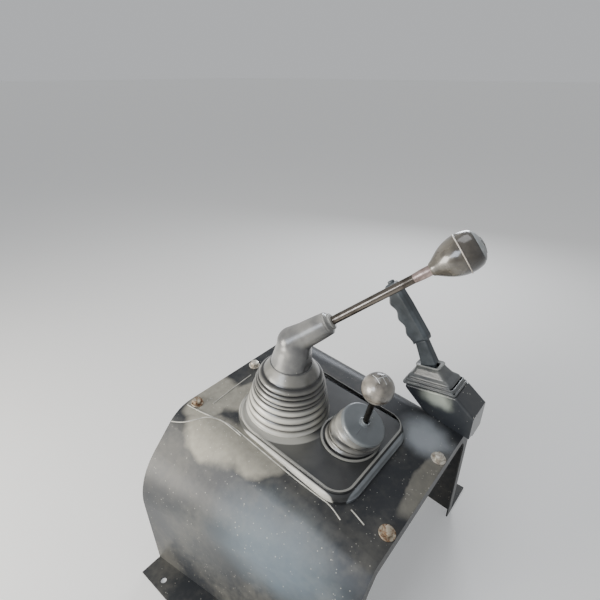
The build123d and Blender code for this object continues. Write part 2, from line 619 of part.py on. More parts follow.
with BuildPart() as handbrake_console:
    with BuildSketch(side_plane(CONSOLE_X0)) as console_side:
        with BuildLine():
            Polyline(CONSOLE_FRONT, CONSOLE_CREST, CONSOLE_REAR, CONSOLE_REAR_FOOT, CONSOLE_FOOT,
                     CONSOLE_FRONT)
        make_face()
    extrude(amount=CONSOLE_X1 - CONSOLE_X0)
    fillet(handbrake_console.edges().filter_by(Axis.X).sort_by(Axis.Y)[-1], radius=CONSOLE_NOSE_R)
    top_faces = [f for f in handbrake_console.faces() if f.normal_at().Z > 0.5]
    fillet([e for f in top_faces for e in f.edges() if e.bounding_box().size.X < 0.1], radius=CONSOLE_EDGE_R)
    # the hollow runs out below, where the console stands on the tunnel
    with BuildSketch(side_plane(CONSOLE_X0 + CONSOLE_WALL)) as hollow_side:
        with BuildLine():
            Polyline(CONSOLE_FRONT, CONSOLE_CREST, CONSOLE_REAR, (CONSOLE_REAR[0], CONSOLE_DROP[1]),
                     CONSOLE_DROP, CONSOLE_FRONT)
        make_face()
        offset(amount=-CONSOLE_WALL, kind=Kind.INTERSECTION, mode=Mode.REPLACE)
    extrude(amount=CONSOLE_X1 - CONSOLE_X0 - 2 * CONSOLE_WALL, mode=Mode.SUBTRACT)
    with BuildSketch(CONSOLE_TOP.offset(-SLOT_REACH)) as lever_slot:
        with Locations((0, SLOT_AHEAD)):
            RectangleRounded(SLOT_BROAD, SLOT_LONG, SLOT_CORNER_R)
    extrude(amount=2 * SLOT_REACH, mode=Mode.SUBTRACT)
    add(long_arch, mode=Mode.SUBTRACT)

with BuildPart() as handbrake_bracket:
    left_in = CHEEK_LEFT + BRACKET_SHEET
    right_out = CHEEK_RIGHT + BRACKET_SHEET
    below = BRACKET_FLOOR - BRACKET_SHEET
    with BuildSketch(Plane(origin=(0, BRACKET_Y1, 0), x_dir=(1, 0, 0), z_dir=(0, -1, 0))) as channel_section:
        with BuildLine():
            Polyline((CHEEK_LEFT, BRACKET_FOOT), (CHEEK_LEFT, BRACKET_TOP), (left_in, BRACKET_TOP),
                     (left_in, BRACKET_FLOOR), (CHEEK_RIGHT, BRACKET_FLOOR), (CHEEK_RIGHT, BRACKET_TOP),
                     (right_out, BRACKET_TOP), (right_out, BRACKET_FOOT), (CHEEK_RIGHT, BRACKET_FOOT),
                     (CHEEK_RIGHT, below), (left_in, below), (left_in, BRACKET_FOOT),
                     (CHEEK_LEFT, BRACKET_FOOT))
        make_face()
    extrude(amount=BRACKET_Y1 - BRACKET_Y0)
    pivot_y, pivot_z = BRAKE_PIVOT
    foot_z = BRACKET_FOOT - 1
    with BuildSketch(side_plane(CHEEK_LEFT)) as cheek_outline:
        with BuildLine():
            Polyline((BRACKET_Y0, foot_z), (BRACKET_Y1, foot_z), (BRACKET_Y1, BRACKET_SHOULDER),
                     (pivot_y + CHEEK_R, pivot_z))
            ThreePointArc((pivot_y + CHEEK_R, pivot_z), (pivot_y, pivot_z + CHEEK_R),
                          (pivot_y - CHEEK_R, pivot_z))
            Polyline((pivot_y - CHEEK_R, pivot_z), (BRACKET_Y0, BRACKET_SHOULDER), (BRACKET_Y0, foot_z))
        make_face()
        with Locations(BRAKE_PIVOT):
            Circle(PIVOT_R, mode=Mode.SUBTRACT)
    extrude(amount=right_out - CHEEK_LEFT, mode=Mode.INTERSECT)
    add(long_arch, mode=Mode.SUBTRACT)

with BuildPart() as handbrake_pivot:
    with BuildSketch(side_plane(CHEEK_LEFT)) as pivot_shank:
        with Locations(BRAKE_PIVOT):
            Circle(PIVOT_R)
    extrude(amount=CHEEK_RIGHT + BRACKET_SHEET - CHEEK_LEFT + PIVOT_OUT)
    with BuildSketch(side_plane(CHEEK_LEFT - PIVOT_HEAD_HIGH)) as pivot_head:
        with Locations(BRAKE_PIVOT):
            Circle(PIVOT_HEAD_R)
    extrude(amount=PIVOT_HEAD_HIGH)

LEVER_WAY = Vector(0, BRAKE_MOUTH[0] - BRAKE_PIVOT[0], BRAKE_MOUTH[1] - BRAKE_PIVOT[1]).normalized()
GRIP_WAY = Vector(0, GRIP_TOP[0] - GRIP_LOW[0], GRIP_TOP[1] - GRIP_LOW[1]).normalized()
GRIP_SIDE = Plane(origin=(BRAKE_X - GRIP_BROAD / 2, *GRIP_LOW), x_dir=GRIP_WAY, z_dir=(1, 0, 0))


def brake_plane(point, way, distance):
    """A plane square to the handbrake's line, a distance along it from a y, z point."""
    return Plane(origin=Vector(BRAKE_X, *point) + way * distance, x_dir=(1, 0, 0), z_dir=way)


with BuildPart() as handbrake_lever:
    for distance, broad, deep in SHROUD:
        with BuildSketch(brake_plane(BRAKE_PIVOT, LEVER_WAY, distance)) as shroud_section:
            RectangleRounded(broad, deep, SHROUD_CORNER_R)
    loft(ruled=True)
    with BuildSketch(brake_plane(BRAKE_PIVOT, LEVER_WAY, 0)) as lever_bar:
        RectangleRounded(*BAR, BAR_CORNER_R)
    extrude(amount=SHROUD[0][0] + 1)
    with BuildSketch(side_plane(BRAKE_X - BOSS_BROAD / 2)) as lever_boss:
        with Locations(BRAKE_PIVOT):
            Circle(BOSS_R)
    extrude(amount=BOSS_BROAD)
    with BuildSketch(brake_plane(GRIP_LOW, GRIP_WAY, TUBE_START)) as lever_tube:
        RectangleRounded(*TUBE, TUBE_CORNER_R)
    extrude(amount=TUBE_LONG)
    with BuildSketch(side_plane(CHEEK_LEFT)) as lever_bore:
        with Locations(BRAKE_PIVOT):
            Circle(PIVOT_R + RUNNING)
    extrude(amount=CHEEK_RIGHT - CHEEK_LEFT, mode=Mode.SUBTRACT)

with BuildPart() as handbrake_grip:
    with BuildSketch(GRIP_SIDE) as grip_side:
        with BuildLine():
            Polyline(*GRIP_BACK, GRIP_FRONT[0])
            Spline(*GRIP_FRONT)
            Line(GRIP_FRONT[-1], GRIP_BACK[0])
        make_face()
    extrude(amount=GRIP_BROAD)
    round_edges = [e for e in handbrake_grip.edges() if abs(e.bounding_box().size.X) < 0.1]
    chamfer(round_edges, length=GRIP_EDGE, length2=GRIP_EDGE)
    add(handbrake_lever.part, mode=Mode.SUBTRACT)

with BuildPart() as handbrake_button:
    with BuildSketch(brake_plane(GRIP_LOW, GRIP_WAY, GRIP_BACK[-1][0])) as button_disc:
        Circle(BUTTON_R)
    extrude(amount=BUTTON_HIGH)
    fillet(handbrake_button.edges().sort_by(Axis.Z)[-1], radius=BUTTON_EDGE_R)

with BuildPart() as handbrake_gaiter:
    for inset, mode in ((0, Mode.ADD), (TIER_WALL, Mode.SUBTRACT)):
        for height, broad, long, ahead in TIERS:
            with BuildSketch(CONSOLE_TOP.offset(height)) as tier:
                with Locations((0, ahead)):
                    RectangleRounded(broad - 2 * inset, long - 2 * inset, TIER_CORNER_R - inset)
        loft(ruled=True, mode=mode)

bolts = {}
for name, (bolt_x, bolt_y, washer_r) in EDGE_BOLTS.items():
    skin_z = FRONT_TOP + (bolt_y - FRONT_Y) * TOP_FALL
    seat = Plane(origin=(bolt_x, bolt_y, skin_z), x_dir=(1, 0, 0), z_dir=(0, -TOP_FALL, 1))
    with BuildPart() as bolt:
        with BuildSketch(seat):
            Circle(washer_r)
        extrude(amount=WASHER_THICK)
        with BuildSketch(seat):
            RegularPolygon(HEX_ACROSS_CORNERS_R, 6)
        extrude(amount=WASHER_THICK + HEX_HIGH)
    bolts[name] = bolt

os.makedirs("parts", exist_ok=True)
pieces = {
    "tunnel_cover": tunnel_cover,
    "lever_plate": lever_plate,
    "gear_gaiter": gear_gaiter,
    "gear_rod": gear_rod,
    "gear_sleeve": gear_sleeve,
    "gear_knob": gear_knob,
    "gear_knob_cap": gear_knob_cap,
    "transfer_rod": transfer_rod,
    "transfer_cap": transfer_cap,
    "transfer_knob": transfer_knob,
    "transfer_gaiter": transfer_gaiter,
    "lever_housing": lever_housing,
    "handbrake_console": handbrake_console,
    "handbrake_bracket": handbrake_bracket,
    "handbrake_pivot": handbrake_pivot,
    "handbrake_lever": handbrake_lever,
    "handbrake_grip": handbrake_grip,
    "handbrake_button": handbrake_button,
    "handbrake_gaiter": handbrake_gaiter,
} | gate_parts | bolts
for name, piece in pieces.items():
    piece.part.label = name
    export_step(piece.part, f"parts/{name}.step")
    box = piece.part.bounding_box()
    print(f"{name:20s} solids {len(piece.part.solids())} volume {piece.part.volume / 1000:8.1f} cm3  "
          f"x {box.min.X:7.1f} {box.max.X:7.1f}  y {box.min.Y:7.1f} {box.max.Y:7.1f}  "
          f"z {box.min.Z:7.1f} {box.max.Z:7.1f}")
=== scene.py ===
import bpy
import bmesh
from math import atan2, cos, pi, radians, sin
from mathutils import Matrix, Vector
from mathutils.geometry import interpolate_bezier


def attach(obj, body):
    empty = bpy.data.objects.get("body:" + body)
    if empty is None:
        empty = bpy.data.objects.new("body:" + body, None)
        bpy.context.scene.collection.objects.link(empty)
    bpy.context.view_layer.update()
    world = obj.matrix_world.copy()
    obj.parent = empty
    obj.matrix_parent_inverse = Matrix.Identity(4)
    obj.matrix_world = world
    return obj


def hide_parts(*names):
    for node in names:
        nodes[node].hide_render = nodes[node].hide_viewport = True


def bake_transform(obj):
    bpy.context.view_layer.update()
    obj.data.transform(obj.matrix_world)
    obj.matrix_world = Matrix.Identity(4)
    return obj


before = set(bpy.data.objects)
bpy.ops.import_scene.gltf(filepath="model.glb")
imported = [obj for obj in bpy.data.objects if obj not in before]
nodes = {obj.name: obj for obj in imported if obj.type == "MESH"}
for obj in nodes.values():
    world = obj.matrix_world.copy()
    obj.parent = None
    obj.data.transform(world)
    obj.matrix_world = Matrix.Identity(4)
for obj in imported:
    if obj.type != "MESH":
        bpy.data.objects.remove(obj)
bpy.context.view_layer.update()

# %% [markdown]
# # A transmission tunnel with its levers
#
# The part is the pressed steel cover over the gearbox of an off-road car, with a rubber lever plate,
# a gear lever in a tall bellows, a short transfer lever and a handbrake. The steel pieces come from
# the CAD frame and only get their finishes here. The soft and hand-worn pieces are made again,
# because rubber and moulded plastic have no sharp edges. A new piece hides the solid it replaces, and
# most ride on the body that the solid rides on.

MM = 0.001

# The lever plate's own frame: its origin is on the gear lever's axis, on the plate's sloping top face.
PLATE_AT = (-0.012, 0.051, 0.250)
PLATE_SLOPE = radians(6.4)
PLATE = Matrix.Translation(PLATE_AT) @ Matrix.Rotation(PLATE_SLOPE, 4, "X")


# %% [markdown]
# ## Camera
#
# The camera stands high, behind the cover's left rear corner, and looks down and forward along it.
# Its place comes from the sight lines of the knobs, the plate and the bolts: they cross in one point.
# It could also be aimed by eye, but then the levers would not line up with each other.

# %% Camera
CAMERA_AT = (-0.3851, -0.2800, 0.6919)
LENS_MM, SENSOR_MM = 25.904, 36

look = Vector((0.68127, 0.5627, -0.46822)).normalized()
side = look.cross(Vector((0.36004, 0.29934, 0.88361))).normalized()
camera = bpy.data.objects.new("camera", bpy.data.cameras.new("camera"))
bpy.context.scene.collection.objects.link(camera)
turn = Matrix((side, side.cross(look), -look)).transposed().to_4x4()
camera.matrix_world = Matrix.Translation(CAMERA_AT) @ turn
camera.data.lens = LENS_MM
camera.data.sensor_width = SENSOR_MM
camera.data.clip_start = 0.01
bpy.context.scene.camera = camera
print("camera at", tuple(round(v, 3) for v in camera.location))

# %% [markdown]
# ## Floor and backdrop
#
# A pale floor keeps the part's shadow. The floor and the world glow a little for the eye alone, by
# the Light Path node, so the background is pale without more light on the part. Seen from below, the
# floor is clear.

# %% Adding a node


def srgb(code):
    """A colour written as sRGB hex, turned to the linear values that the shaders use."""
    parts = [int(code[i:i + 2], 16) / 255 for i in (1, 3, 5)]
    return [p / 12.92 if p <= 0.04045 else ((p + 0.055) / 1.055) ** 2.4 for p in parts] + [1.0]


def wire(tree, target, inputs):
    """Sets a node's inputs. Each is a number, a hex colour, another node or one of its outputs."""
    for key, value in inputs.items():
        if isinstance(value, bpy.types.Node):
            value = value.outputs[0]
        if isinstance(value, bpy.types.NodeSocket):
            tree.links.new(value, target.inputs[key])
        else:
            target.inputs[key].default_value = srgb(value) if isinstance(value, str) else value


def node(tree, kind, inputs=None, **settings):
    """Adds a shader node with its settings, and sets or links its inputs."""
    made = tree.nodes.new(kind)
    for key, value in settings.items():
        setattr(made, key, value)
    wire(tree, made, inputs or {})
    return made


def seen_by_eye(tree):
    """1 for what the camera sees, straight or in a mirror or through glass, and 0 for stray light."""
    rays = node(tree, "ShaderNodeLightPath").outputs
    mirrored = node(tree, "ShaderNodeMath", {0: rays["Is Camera Ray"], 1: rays["Is Glossy Ray"]},
                    operation="MAXIMUM")
    return node(tree, "ShaderNodeMath", {0: mirrored, 1: rays["Is Transmission Ray"]}, operation="MAXIMUM")


# %% Floor
FLOOR_HALF_M = 40
FLOOR_DROP_MM = 0.3  # keeps the floor clear of the flanges' undersides
FLOOR_GLOW = 0.36

floor_bm = bmesh.new()
bmesh.ops.create_grid(floor_bm, x_segments=1, y_segments=1, size=FLOOR_HALF_M)
bmesh.ops.translate(floor_bm, vec=(0, 0, -FLOOR_DROP_MM * MM), verts=floor_bm.verts)
floor_mesh = bpy.data.meshes.new("floor")
floor_bm.to_mesh(floor_mesh)
floor_bm.free()
floor = bpy.data.objects.new("floor", floor_mesh)
bpy.context.scene.collection.objects.link(floor)
print("floor", tuple(floor.dimensions))

# %% Finish of the floor
floor_finish = bpy.data.materials.new("pale studio floor")
floor_finish.use_nodes = True
floor_mesh.materials.append(floor_finish)
floor_tree = floor_finish.node_tree
floor_shader = floor_tree.nodes["Principled BSDF"]
glow = node(floor_tree, "ShaderNodeMath", {0: seen_by_eye(floor_tree), 1: FLOOR_GLOW}, operation="MULTIPLY")
wire(floor_tree, floor_shader, {"Base Color": "#e4e2dd", "Roughness": 0.9, "Emission Color": "#eceff3",
                                "Emission Strength": glow})
underside = node(floor_tree, "ShaderNodeNewGeometry").outputs["Backfacing"]
one_sided = node(floor_tree, "ShaderNodeMixShader", {
    0: underside, 1: floor_shader, 2: node(floor_tree, "ShaderNodeBsdfTransparent")})
wire(floor_tree, next(n for n in floor_tree.nodes if n.type == "OUTPUT_MATERIAL"), {"Surface": one_sided})

# %% World
STRAY_LIGHT = 0.24
BACKDROP = 0.62

world = bpy.data.worlds.new("studio")
bpy.context.scene.world = world
world.use_nodes = True
sky_tree = world.node_tree
sky_strength = node(sky_tree, "ShaderNodeMapRange", {
    "Value": seen_by_eye(sky_tree), "To Min": STRAY_LIGHT, "To Max": BACKDROP})
wire(sky_tree, sky_tree.nodes["Background"], {"Color": "#eceef1", "Strength": sky_strength})
print("world", STRAY_LIGHT, BACKDROP)

# %% [markdown]
# ## Lamps
#
# Rubber and satin paint show their form by soft reflections. Small lamps would leave hard dots on
# them, so broad square lamps are used, and the strongest stands low, where the folds of the bellows
# and the plate's border mirror it towards the camera.

# %% Lamps
LAMP_AIM = Vector((0, 0, 0.25))


def lamp(name, place, size, watts, colour):
    """A square lamp that points at the middle of the cover."""
    data = bpy.data.lights.new(name, "AREA")
    data.shape = "SQUARE"
    data.size = size
    data.energy = watts
    data.color = srgb(colour)[:3]
    made = bpy.data.objects.new(name, data)
    bpy.context.scene.collection.objects.link(made)
    way = LAMP_AIM - Vector(place)
    made.matrix_world = Matrix.Translation(place) @ way.to_track_quat("-Z", "Y").to_matrix().to_4x4()


lamp("low window at the front left", (-1.3, 0.72, 0.42), 0.75, 36, "#fdf8ee")
lamp("high window at the left", (-1.3, 0.08, 0.95), 0.6, 11, "#e6eefb")
lamp("roof light", (0.1, 0.2, 1.8), 0.9, 7, "#f6f7fa")
lamp("window at the right", (1.35, 0.45, 0.85), 0.5, 9, "#eef3fb")

# %% [markdown]
# ## Finishes
#
# Every finish starts from its real material and is worked out in the object's own coordinates, in
# metres. A photograph of each surface could be used instead, but a procedure stays sharp at any size.
# Some finishes still paint light into their colours, as painted sunlight, highlights, reflections and
# shade, which is said where it stands. The same few effects come back on paint, rubber, steel and
# plastic, so each is written once: patches, soft spots, specks, a fine grain and coats of colour.

# %% Where a finish starts
SOFT = "SMOOTHSTEP"  # a Map Range node that rises softly between its two values
NOISE_ROUGHNESS = 0.55


def start_finish(name):
    """A new material, its node tree, its shader and the object's own coordinates."""
    made = bpy.data.materials.new(name)
    made.use_nodes = True
    place = node(made.node_tree, "ShaderNodeTexCoord").outputs["Object"]
    return made, made.node_tree, made.node_tree.nodes["Principled BSDF"], place


def patches(tree, place, size_mm, low, high, detail=4.0, least=0.0, most=1.0):
    """Patches about size_mm across. They rise from least to most where their noise goes from low to high."""
    cloud = node(tree, "ShaderNodeTexNoise", {
        "Vector": place, "Scale": 1 / (size_mm * MM), "Detail": detail, "Roughness": NOISE_ROUGHNESS})
    return node(tree, "ShaderNodeMapRange", {
        "Value": cloud, "From Min": low, "From Max": high, "To Min": least, "To Max": most},
        interpolation_type=SOFT)


# %% Soft spots


def soft_spot(tree, place, middle, reach, low, high, strength):
    """A spot about its middle that fades out at its reach. Both are in metres along X, Y and Z."""
    moved = node(tree, "ShaderNodeMapping", {"Vector": place, "Location": middle, "Scale": reach},
                 vector_type="TEXTURE")
    ball = node(tree, "ShaderNodeTexGradient", {"Vector": moved}, gradient_type="SPHERICAL").outputs["Fac"]
    return node(tree, "ShaderNodeMapRange", {
        "Value": ball, "From Min": low, "From Max": high, "To Max": strength}, interpolation_type=SOFT)


def ragged(tree, place, size_mm, reach_mm):
    """Coordinates pushed about by noise, so that a spot drawn on them has a ragged outline."""
    push = node(tree, "ShaderNodeTexNoise", {"Vector": place, "Scale": 1 / (size_mm * MM), "Detail": 5.0})
    push = node(tree, "ShaderNodeVectorMath", {0: push.outputs["Color"], 1: (0.5, 0.5, 0.5)},
                operation="SUBTRACT")
    push = node(tree, "ShaderNodeVectorMath", {0: push, "Scale": reach_mm * MM}, operation="SCALE")
    return node(tree, "ShaderNodeVectorMath", {0: place, 1: push}, operation="ADD")


# %% Specks, grain and coats of colour


def specks(tree, place, cell_mm, size, soft, area_mm, low, high):
    """Round specks in patches, about one in a cell. Size and soft are shares of the cell."""
    cells = node(tree, "ShaderNodeTexVoronoi", {
        "Vector": place, "Scale": 1 / (cell_mm * MM), "Randomness": 1.0})
    dots = node(tree, "ShaderNodeMapRange", {"Value": cells, "From Min": size, "From Max": soft},
                interpolation_type=SOFT)
    return node(tree, "ShaderNodeMath", {0: dots, 1: patches(tree, place, area_mm, low, high)},
                operation="MULTIPLY")


def grain(tree, place, size_mm, detail, depth_mm, strength=0.5):
    """A fine relief, about size_mm from crest to crest."""
    height = node(tree, "ShaderNodeTexNoise", {
        "Vector": place, "Scale": 1 / (size_mm * MM), "Detail": detail, "Roughness": NOISE_ROUGHNESS})
    return node(tree, "ShaderNodeBump", {"Height": height, "Strength": strength, "Distance": depth_mm * MM})


def coats(tree, base, *layers):
    """A base colour under layers, each given as its share and its colour."""
    for share, tint in layers:
        base = node(tree, "ShaderNodeMix", {0: share, 6: base, 7: tint}, data_type="RGBA").outputs[2]
    return base


# %% [markdown]
# ## Black satin paint on pressed steel
#
# The cover is pressed steel, sprayed black and dulled by years of dust. A sprayed coat leaves a faint
# orange peel, about 2 mm across, which breaks up its reflections. The dust lies in soft patches on the
# outside and as pale specks. The large pale spots on the cover's left top are dust and a painted pool
# of sunlight in one. Tinted spots are painted reflections: bluish and grey sheens on the left flank, a
# pale sheen at the rear right and a pale glint on the console's side. The shader mixes the paint with
# those colours through noise, and only the dusty and sunlit places are rough.

# %% Black satin paint
ORANGE_PEEL_MM = 2.2
CLOUD_MM, GRIT_MM = 80, 9  # how broad the patches of thin dust are, and the grit in them
CLOUD_SHARE, GRIT_SHARE = 0.75, 0.3
THIN_DUST = 0.16
DUSTY_ROUGHNESS = 0.8
SPECK_COLOUR = "#dedacd"
SPECK_SIZES = ((9, 0.12), (5.5, 0.15))  # a cell in millimetres, and a speck's share of it


def painted_steel(name, paint, pale_colour, dust_and_sunlight_spots, painted_sheen_spots=(), coat=0.0, gloss=0.42, mirror=0.5):
    """Paint under dust, painted sunlight, painted sheen and specks. Gloss is the clean paint's roughness,
    mirror its reflection.
    """
    made, tree, shader, place = start_finish(name)
    cloud = node(tree, "ShaderNodeTexNoise", {
        "Vector": place, "Scale": 1 / (CLOUD_MM * MM), "Detail": 4, "Roughness": NOISE_ROUGHNESS})
    grit = node(tree, "ShaderNodeTexNoise", {
        "Vector": place, "Scale": 1 / (GRIT_MM * MM), "Detail": 6, "Roughness": NOISE_ROUGHNESS})
    dust_and_sunlight = node(tree, "ShaderNodeMath", {0: grit, 1: GRIT_SHARE}, operation="MULTIPLY")
    dust_and_sunlight = node(tree, "ShaderNodeMath", {0: cloud, 1: CLOUD_SHARE, 2: dust_and_sunlight}, operation="MULTIPLY_ADD")
    dust_and_sunlight = node(tree, "ShaderNodeMapRange", {
        "Value": dust_and_sunlight, "From Min": 0.42, "From Max": 0.74, "To Max": THIN_DUST}, interpolation_type=SOFT)
    torn = ragged(tree, place, 45, 34)
    spots = 0.0
    for middle, reach, strength in dust_and_sunlight_spots:
        spot = soft_spot(tree, torn, middle, reach, 0.05, 0.36, strength)
        spots = node(tree, "ShaderNodeMath", {0: spots, 1: spot}, operation="MAXIMUM")
    if dust_and_sunlight_spots:
        # dust settles on the outside of the sheet, whose faces look up, and not under it, and the painted
        # sunlight in the same spots keeps to those faces too
        outward = node(tree, "ShaderNodeNewGeometry").outputs["Normal"]
        outward = node(tree, "ShaderNodeSeparateXYZ", {0: outward}).outputs["Z"]
        outside = node(tree, "ShaderNodeMapRange", {"Value": outward, "From Min": -0.05, "From Max": 0.15},
                       interpolation_type=SOFT)
        spots = node(tree, "ShaderNodeMath", {0: spots, 1: outside}, operation="MULTIPLY")
        uneven = node(tree, "ShaderNodeMapRange", {"Value": grit, "To Min": 0.55, "To Max": 1.2})
        thick = node(tree, "ShaderNodeMath", {0: spots, 1: uneven}, operation="MULTIPLY", use_clamp=True)
        dust_and_sunlight = node(tree, "ShaderNodeMath", {0: dust_and_sunlight, 1: thick}, operation="MAXIMUM")
    layers = [(dust_and_sunlight, pale_colour)]
    # each painted reflection lays its own tint over the paint
    for middle, reach, strength, tint in painted_sheen_spots:
        layers.append((soft_spot(tree, torn, middle, reach, 0.0, 0.8, strength), tint))
    for cell_mm, size in SPECK_SIZES:
        dots = specks(tree, place, cell_mm, size, size * 0.45, 16, 0.46, 0.56)
        if dust_and_sunlight_spots:
            fewer = node(tree, "ShaderNodeMapRange", {"Value": spots, "To Min": 0.4, "To Max": 1.0})
            dots = node(tree, "ShaderNodeMath", {0: dots, 1: fewer}, operation="MULTIPLY")
        layers.append((dots, SPECK_COLOUR))
    roughness = node(tree, "ShaderNodeMapRange", {"Value": dust_and_sunlight, "To Min": gloss, "To Max": DUSTY_ROUGHNESS})
    wire(tree, shader, {
        "Base Color": coats(tree, paint, *layers), "Roughness": roughness, "Specular IOR Level": mirror,
        "Coat Weight": coat, "Coat Roughness": 0.28, "Normal": grain(tree, place, ORANGE_PEEL_MM, 2, 0.05)})
    return made


# %% Paint of the cover and of the console
# Each spot is its middle and its reach along X, Y and Z in metres, and its strength. A sheen adds a tint.
# the first four spots, on the left top, are dust and a painted pool of sunlight; the last, at the rear, is
# dust alone
COVER_DUST_AND_SUNLIGHT = [
    ((-0.122, 0.088, 0.245), (0.040, 0.062, 0.05), 0.9),
    ((-0.100, 0.030, 0.240), (0.040, 0.060, 0.04), 0.85),
    ((-0.080, 0.140, 0.260), (0.062, 0.040, 0.03), 0.9),
    ((-0.042, 0.110, 0.254), (0.050, 0.030, 0.03), 0.8),
    ((0.020, -0.158, 0.210), (0.075, 0.018, 0.03), 0.45),
]
# painted reflections: bluish and grey sheens on the left flank, and a pale sheen at the rear right
COVER_PAINTED_SHEEN = [
    ((-0.165, -0.055, 0.172), (0.085, 0.130, 0.09), 0.55, "#6f7f8b"),
    ((-0.195, 0.060, 0.120), (0.060, 0.140, 0.12), 0.25, "#5f6365"),
    ((0.094, -0.124, 0.216), (0.050, 0.056, 0.05), 0.85, "#b4b9bd"),
]
# a painted reflection on the console's left side
CONSOLE_PAINTED_SHEEN = [((0.137, -0.119, 0.256), (0.014, 0.034, 0.024), 1.0, "#d6dccb")]
black_paint = painted_steel("black satin paint on pressed steel", "#2b2d30", "#b2ad9e", COVER_DUST_AND_SUNLIGHT,
                            COVER_PAINTED_SHEEN, gloss=0.4, mirror=0.32)
console_paint = painted_steel("black gloss paint on the console", "#33363a", "#77756d", [], CONSOLE_PAINTED_SHEEN,
                              coat=0.4, gloss=0.32)
print("paints", black_paint.name, console_paint.name)

# %% [markdown]
# ## Moulded rubber
#
# Rubber is slightly grained, and its carbon black turns grey with age. A care product leaves a thin
# glossy film on it, which a coat of the shader stands for. The grain is drawn at 1 mm, coarser than
# the real one, so that it shows. On the bellows the grooves keep the black as painted shade, and the
# folds are pale, partly rubbed and partly a painted highlight, which the shader reads from an
# attribute that the mesh carries.

# %% Moulded rubber
RUBBER_GRAIN_MM = 1.1
FILM_ROUGHNESS = 0.24
WORN_ROUGHER = 0.14  # how much rougher rubber and plastic are where they are fully worn


def moulded_rubber(name, deep, worn, gloss, streak=0.4, spots=(), ribbed=0.0):
    """Rubber from a deep to a worn colour, which the spots and folds also use for painted light. Where it is
    ribbed, the grooves keep the deep one as painted shade.
    """
    made, tree, shader, place = start_finish(name)
    pale_share = patches(tree, place, 35, 0.35, 0.7, 5, ribbed, ribbed + streak)
    for middle, reach, strength in spots:
        spot = soft_spot(tree, place, middle, reach, 0.0, 0.6, strength)
        pale_share = node(tree, "ShaderNodeMath", {0: pale_share, 1: spot}, operation="ADD", use_clamp=True)
    # the folds' attribute keeps the deep colour in the grooves as painted shade, and lets the pale share show
    # on the folds
    if ribbed:
        fold = node(tree, "ShaderNodeAttribute", attribute_name="fold").outputs["Fac"]
        pale_share = node(tree, "ShaderNodeMath", {0: pale_share, 1: fold}, operation="MULTIPLY")
    dots = specks(tree, place, 11, 0.085, 0.03, 30, 0.52, 0.6)
    roughness = node(tree, "ShaderNodeMapRange", {
        "Value": pale_share, "To Min": gloss, "To Max": gloss + WORN_ROUGHER})
    wire(tree, shader, {
        "Base Color": coats(tree, deep, (pale_share, worn), (dots, "#cfccc3")), "Roughness": roughness,
        "Coat Weight": 0.7, "Coat Roughness": FILM_ROUGHNESS,
        "Normal": grain(tree, place, RUBBER_GRAIN_MM, 3, 0.06)})
    return made


# The spot on the bellows is a painted pool of sunlight on its left and lower folds.
gaiter_rubber = moulded_rubber("ribbed rubber of the bellows", "#131313", "#cfccc2", 0.26, 0.22, (
    ((-0.062, 0.030, 0.262), (0.080, 0.110, 0.050), 0.62),
), 0.26)
cap_rubber = moulded_rubber("smooth rubber of the transfer cap", "#6f7476", "#888c8d", 0.4)
# The spot on the sleeve is a painted highlight on the top of its arm, near the tip.
sleeve_rubber = moulded_rubber("smooth rubber of the lever sleeve", "#5a5a5a", "#b4b2aa", 0.3, 0.34, (
    ((0.034, -0.008, 0.414), (0.046, 0.046, 0.030), 0.9),
))
brake_rubber = moulded_rubber("stepped rubber of the handbrake gaiter", "#4f5253", "#83847e", 0.38)
lip_rubber = moulded_rubber("rubbed rubber lip", "#8e908d", "#b9b9b2", 0.4)
print("rubbers", [m.name for m in bpy.data.materials if "rubber" in m.name])

# %% [markdown]
# ## Rubber of the lever plate
#
# The plate is dark on its broad face, but hands, shoes and cleaning cloths rub its raised crest pale.
# Its left border is pale as a painted highlight over rubbed dust, the right and rear borders have tints
# of their own, and a ring round the bellows on the left side and a soft spot at the front left are
# painted sunlight. Painting a mask by hand would do, but the finish can also read height and distance
# in the plate's own frame, and then the pale lines follow the moulding.

# %% Where the plate is pale, in millimetres
# The ring round the bellows is painted sunlight, so it shows on the left side alone.
FOOT_RING = (74.5, 72.0)  # distances from the gear lever's axis, none and full
FOOT_SIDE = (-6.0, -46.0)  # the ring shows on the left side alone
CREST = (0.6, 1.3)
# Each border: its axis, where it starts and is full, its strength and its tint. The left one's pale tint is a
# painted highlight over rubbed dust.
BORDERS = (("X", -74.8, -76.5, 0.95, "#dedbd1"), ("X", 98.5, 100.0, 0.5, "#6d7273"),
           ("Y", -152.0, -153.5, 0.7, "#aab0b3"))


# Used for the rubbed crest and for the painted light of the ring and the borders alike.
def rubbed(tree, value, start_mm, full_mm, strength=1.0):
    """A share that rises softly from 0 at one place on the plate to its strength at another."""
    return node(tree, "ShaderNodeMapRange", {
        "Value": value, "From Min": start_mm * MM, "From Max": full_mm * MM, "To Max": strength},
        interpolation_type=SOFT)


# %% Rubber of the lever plate


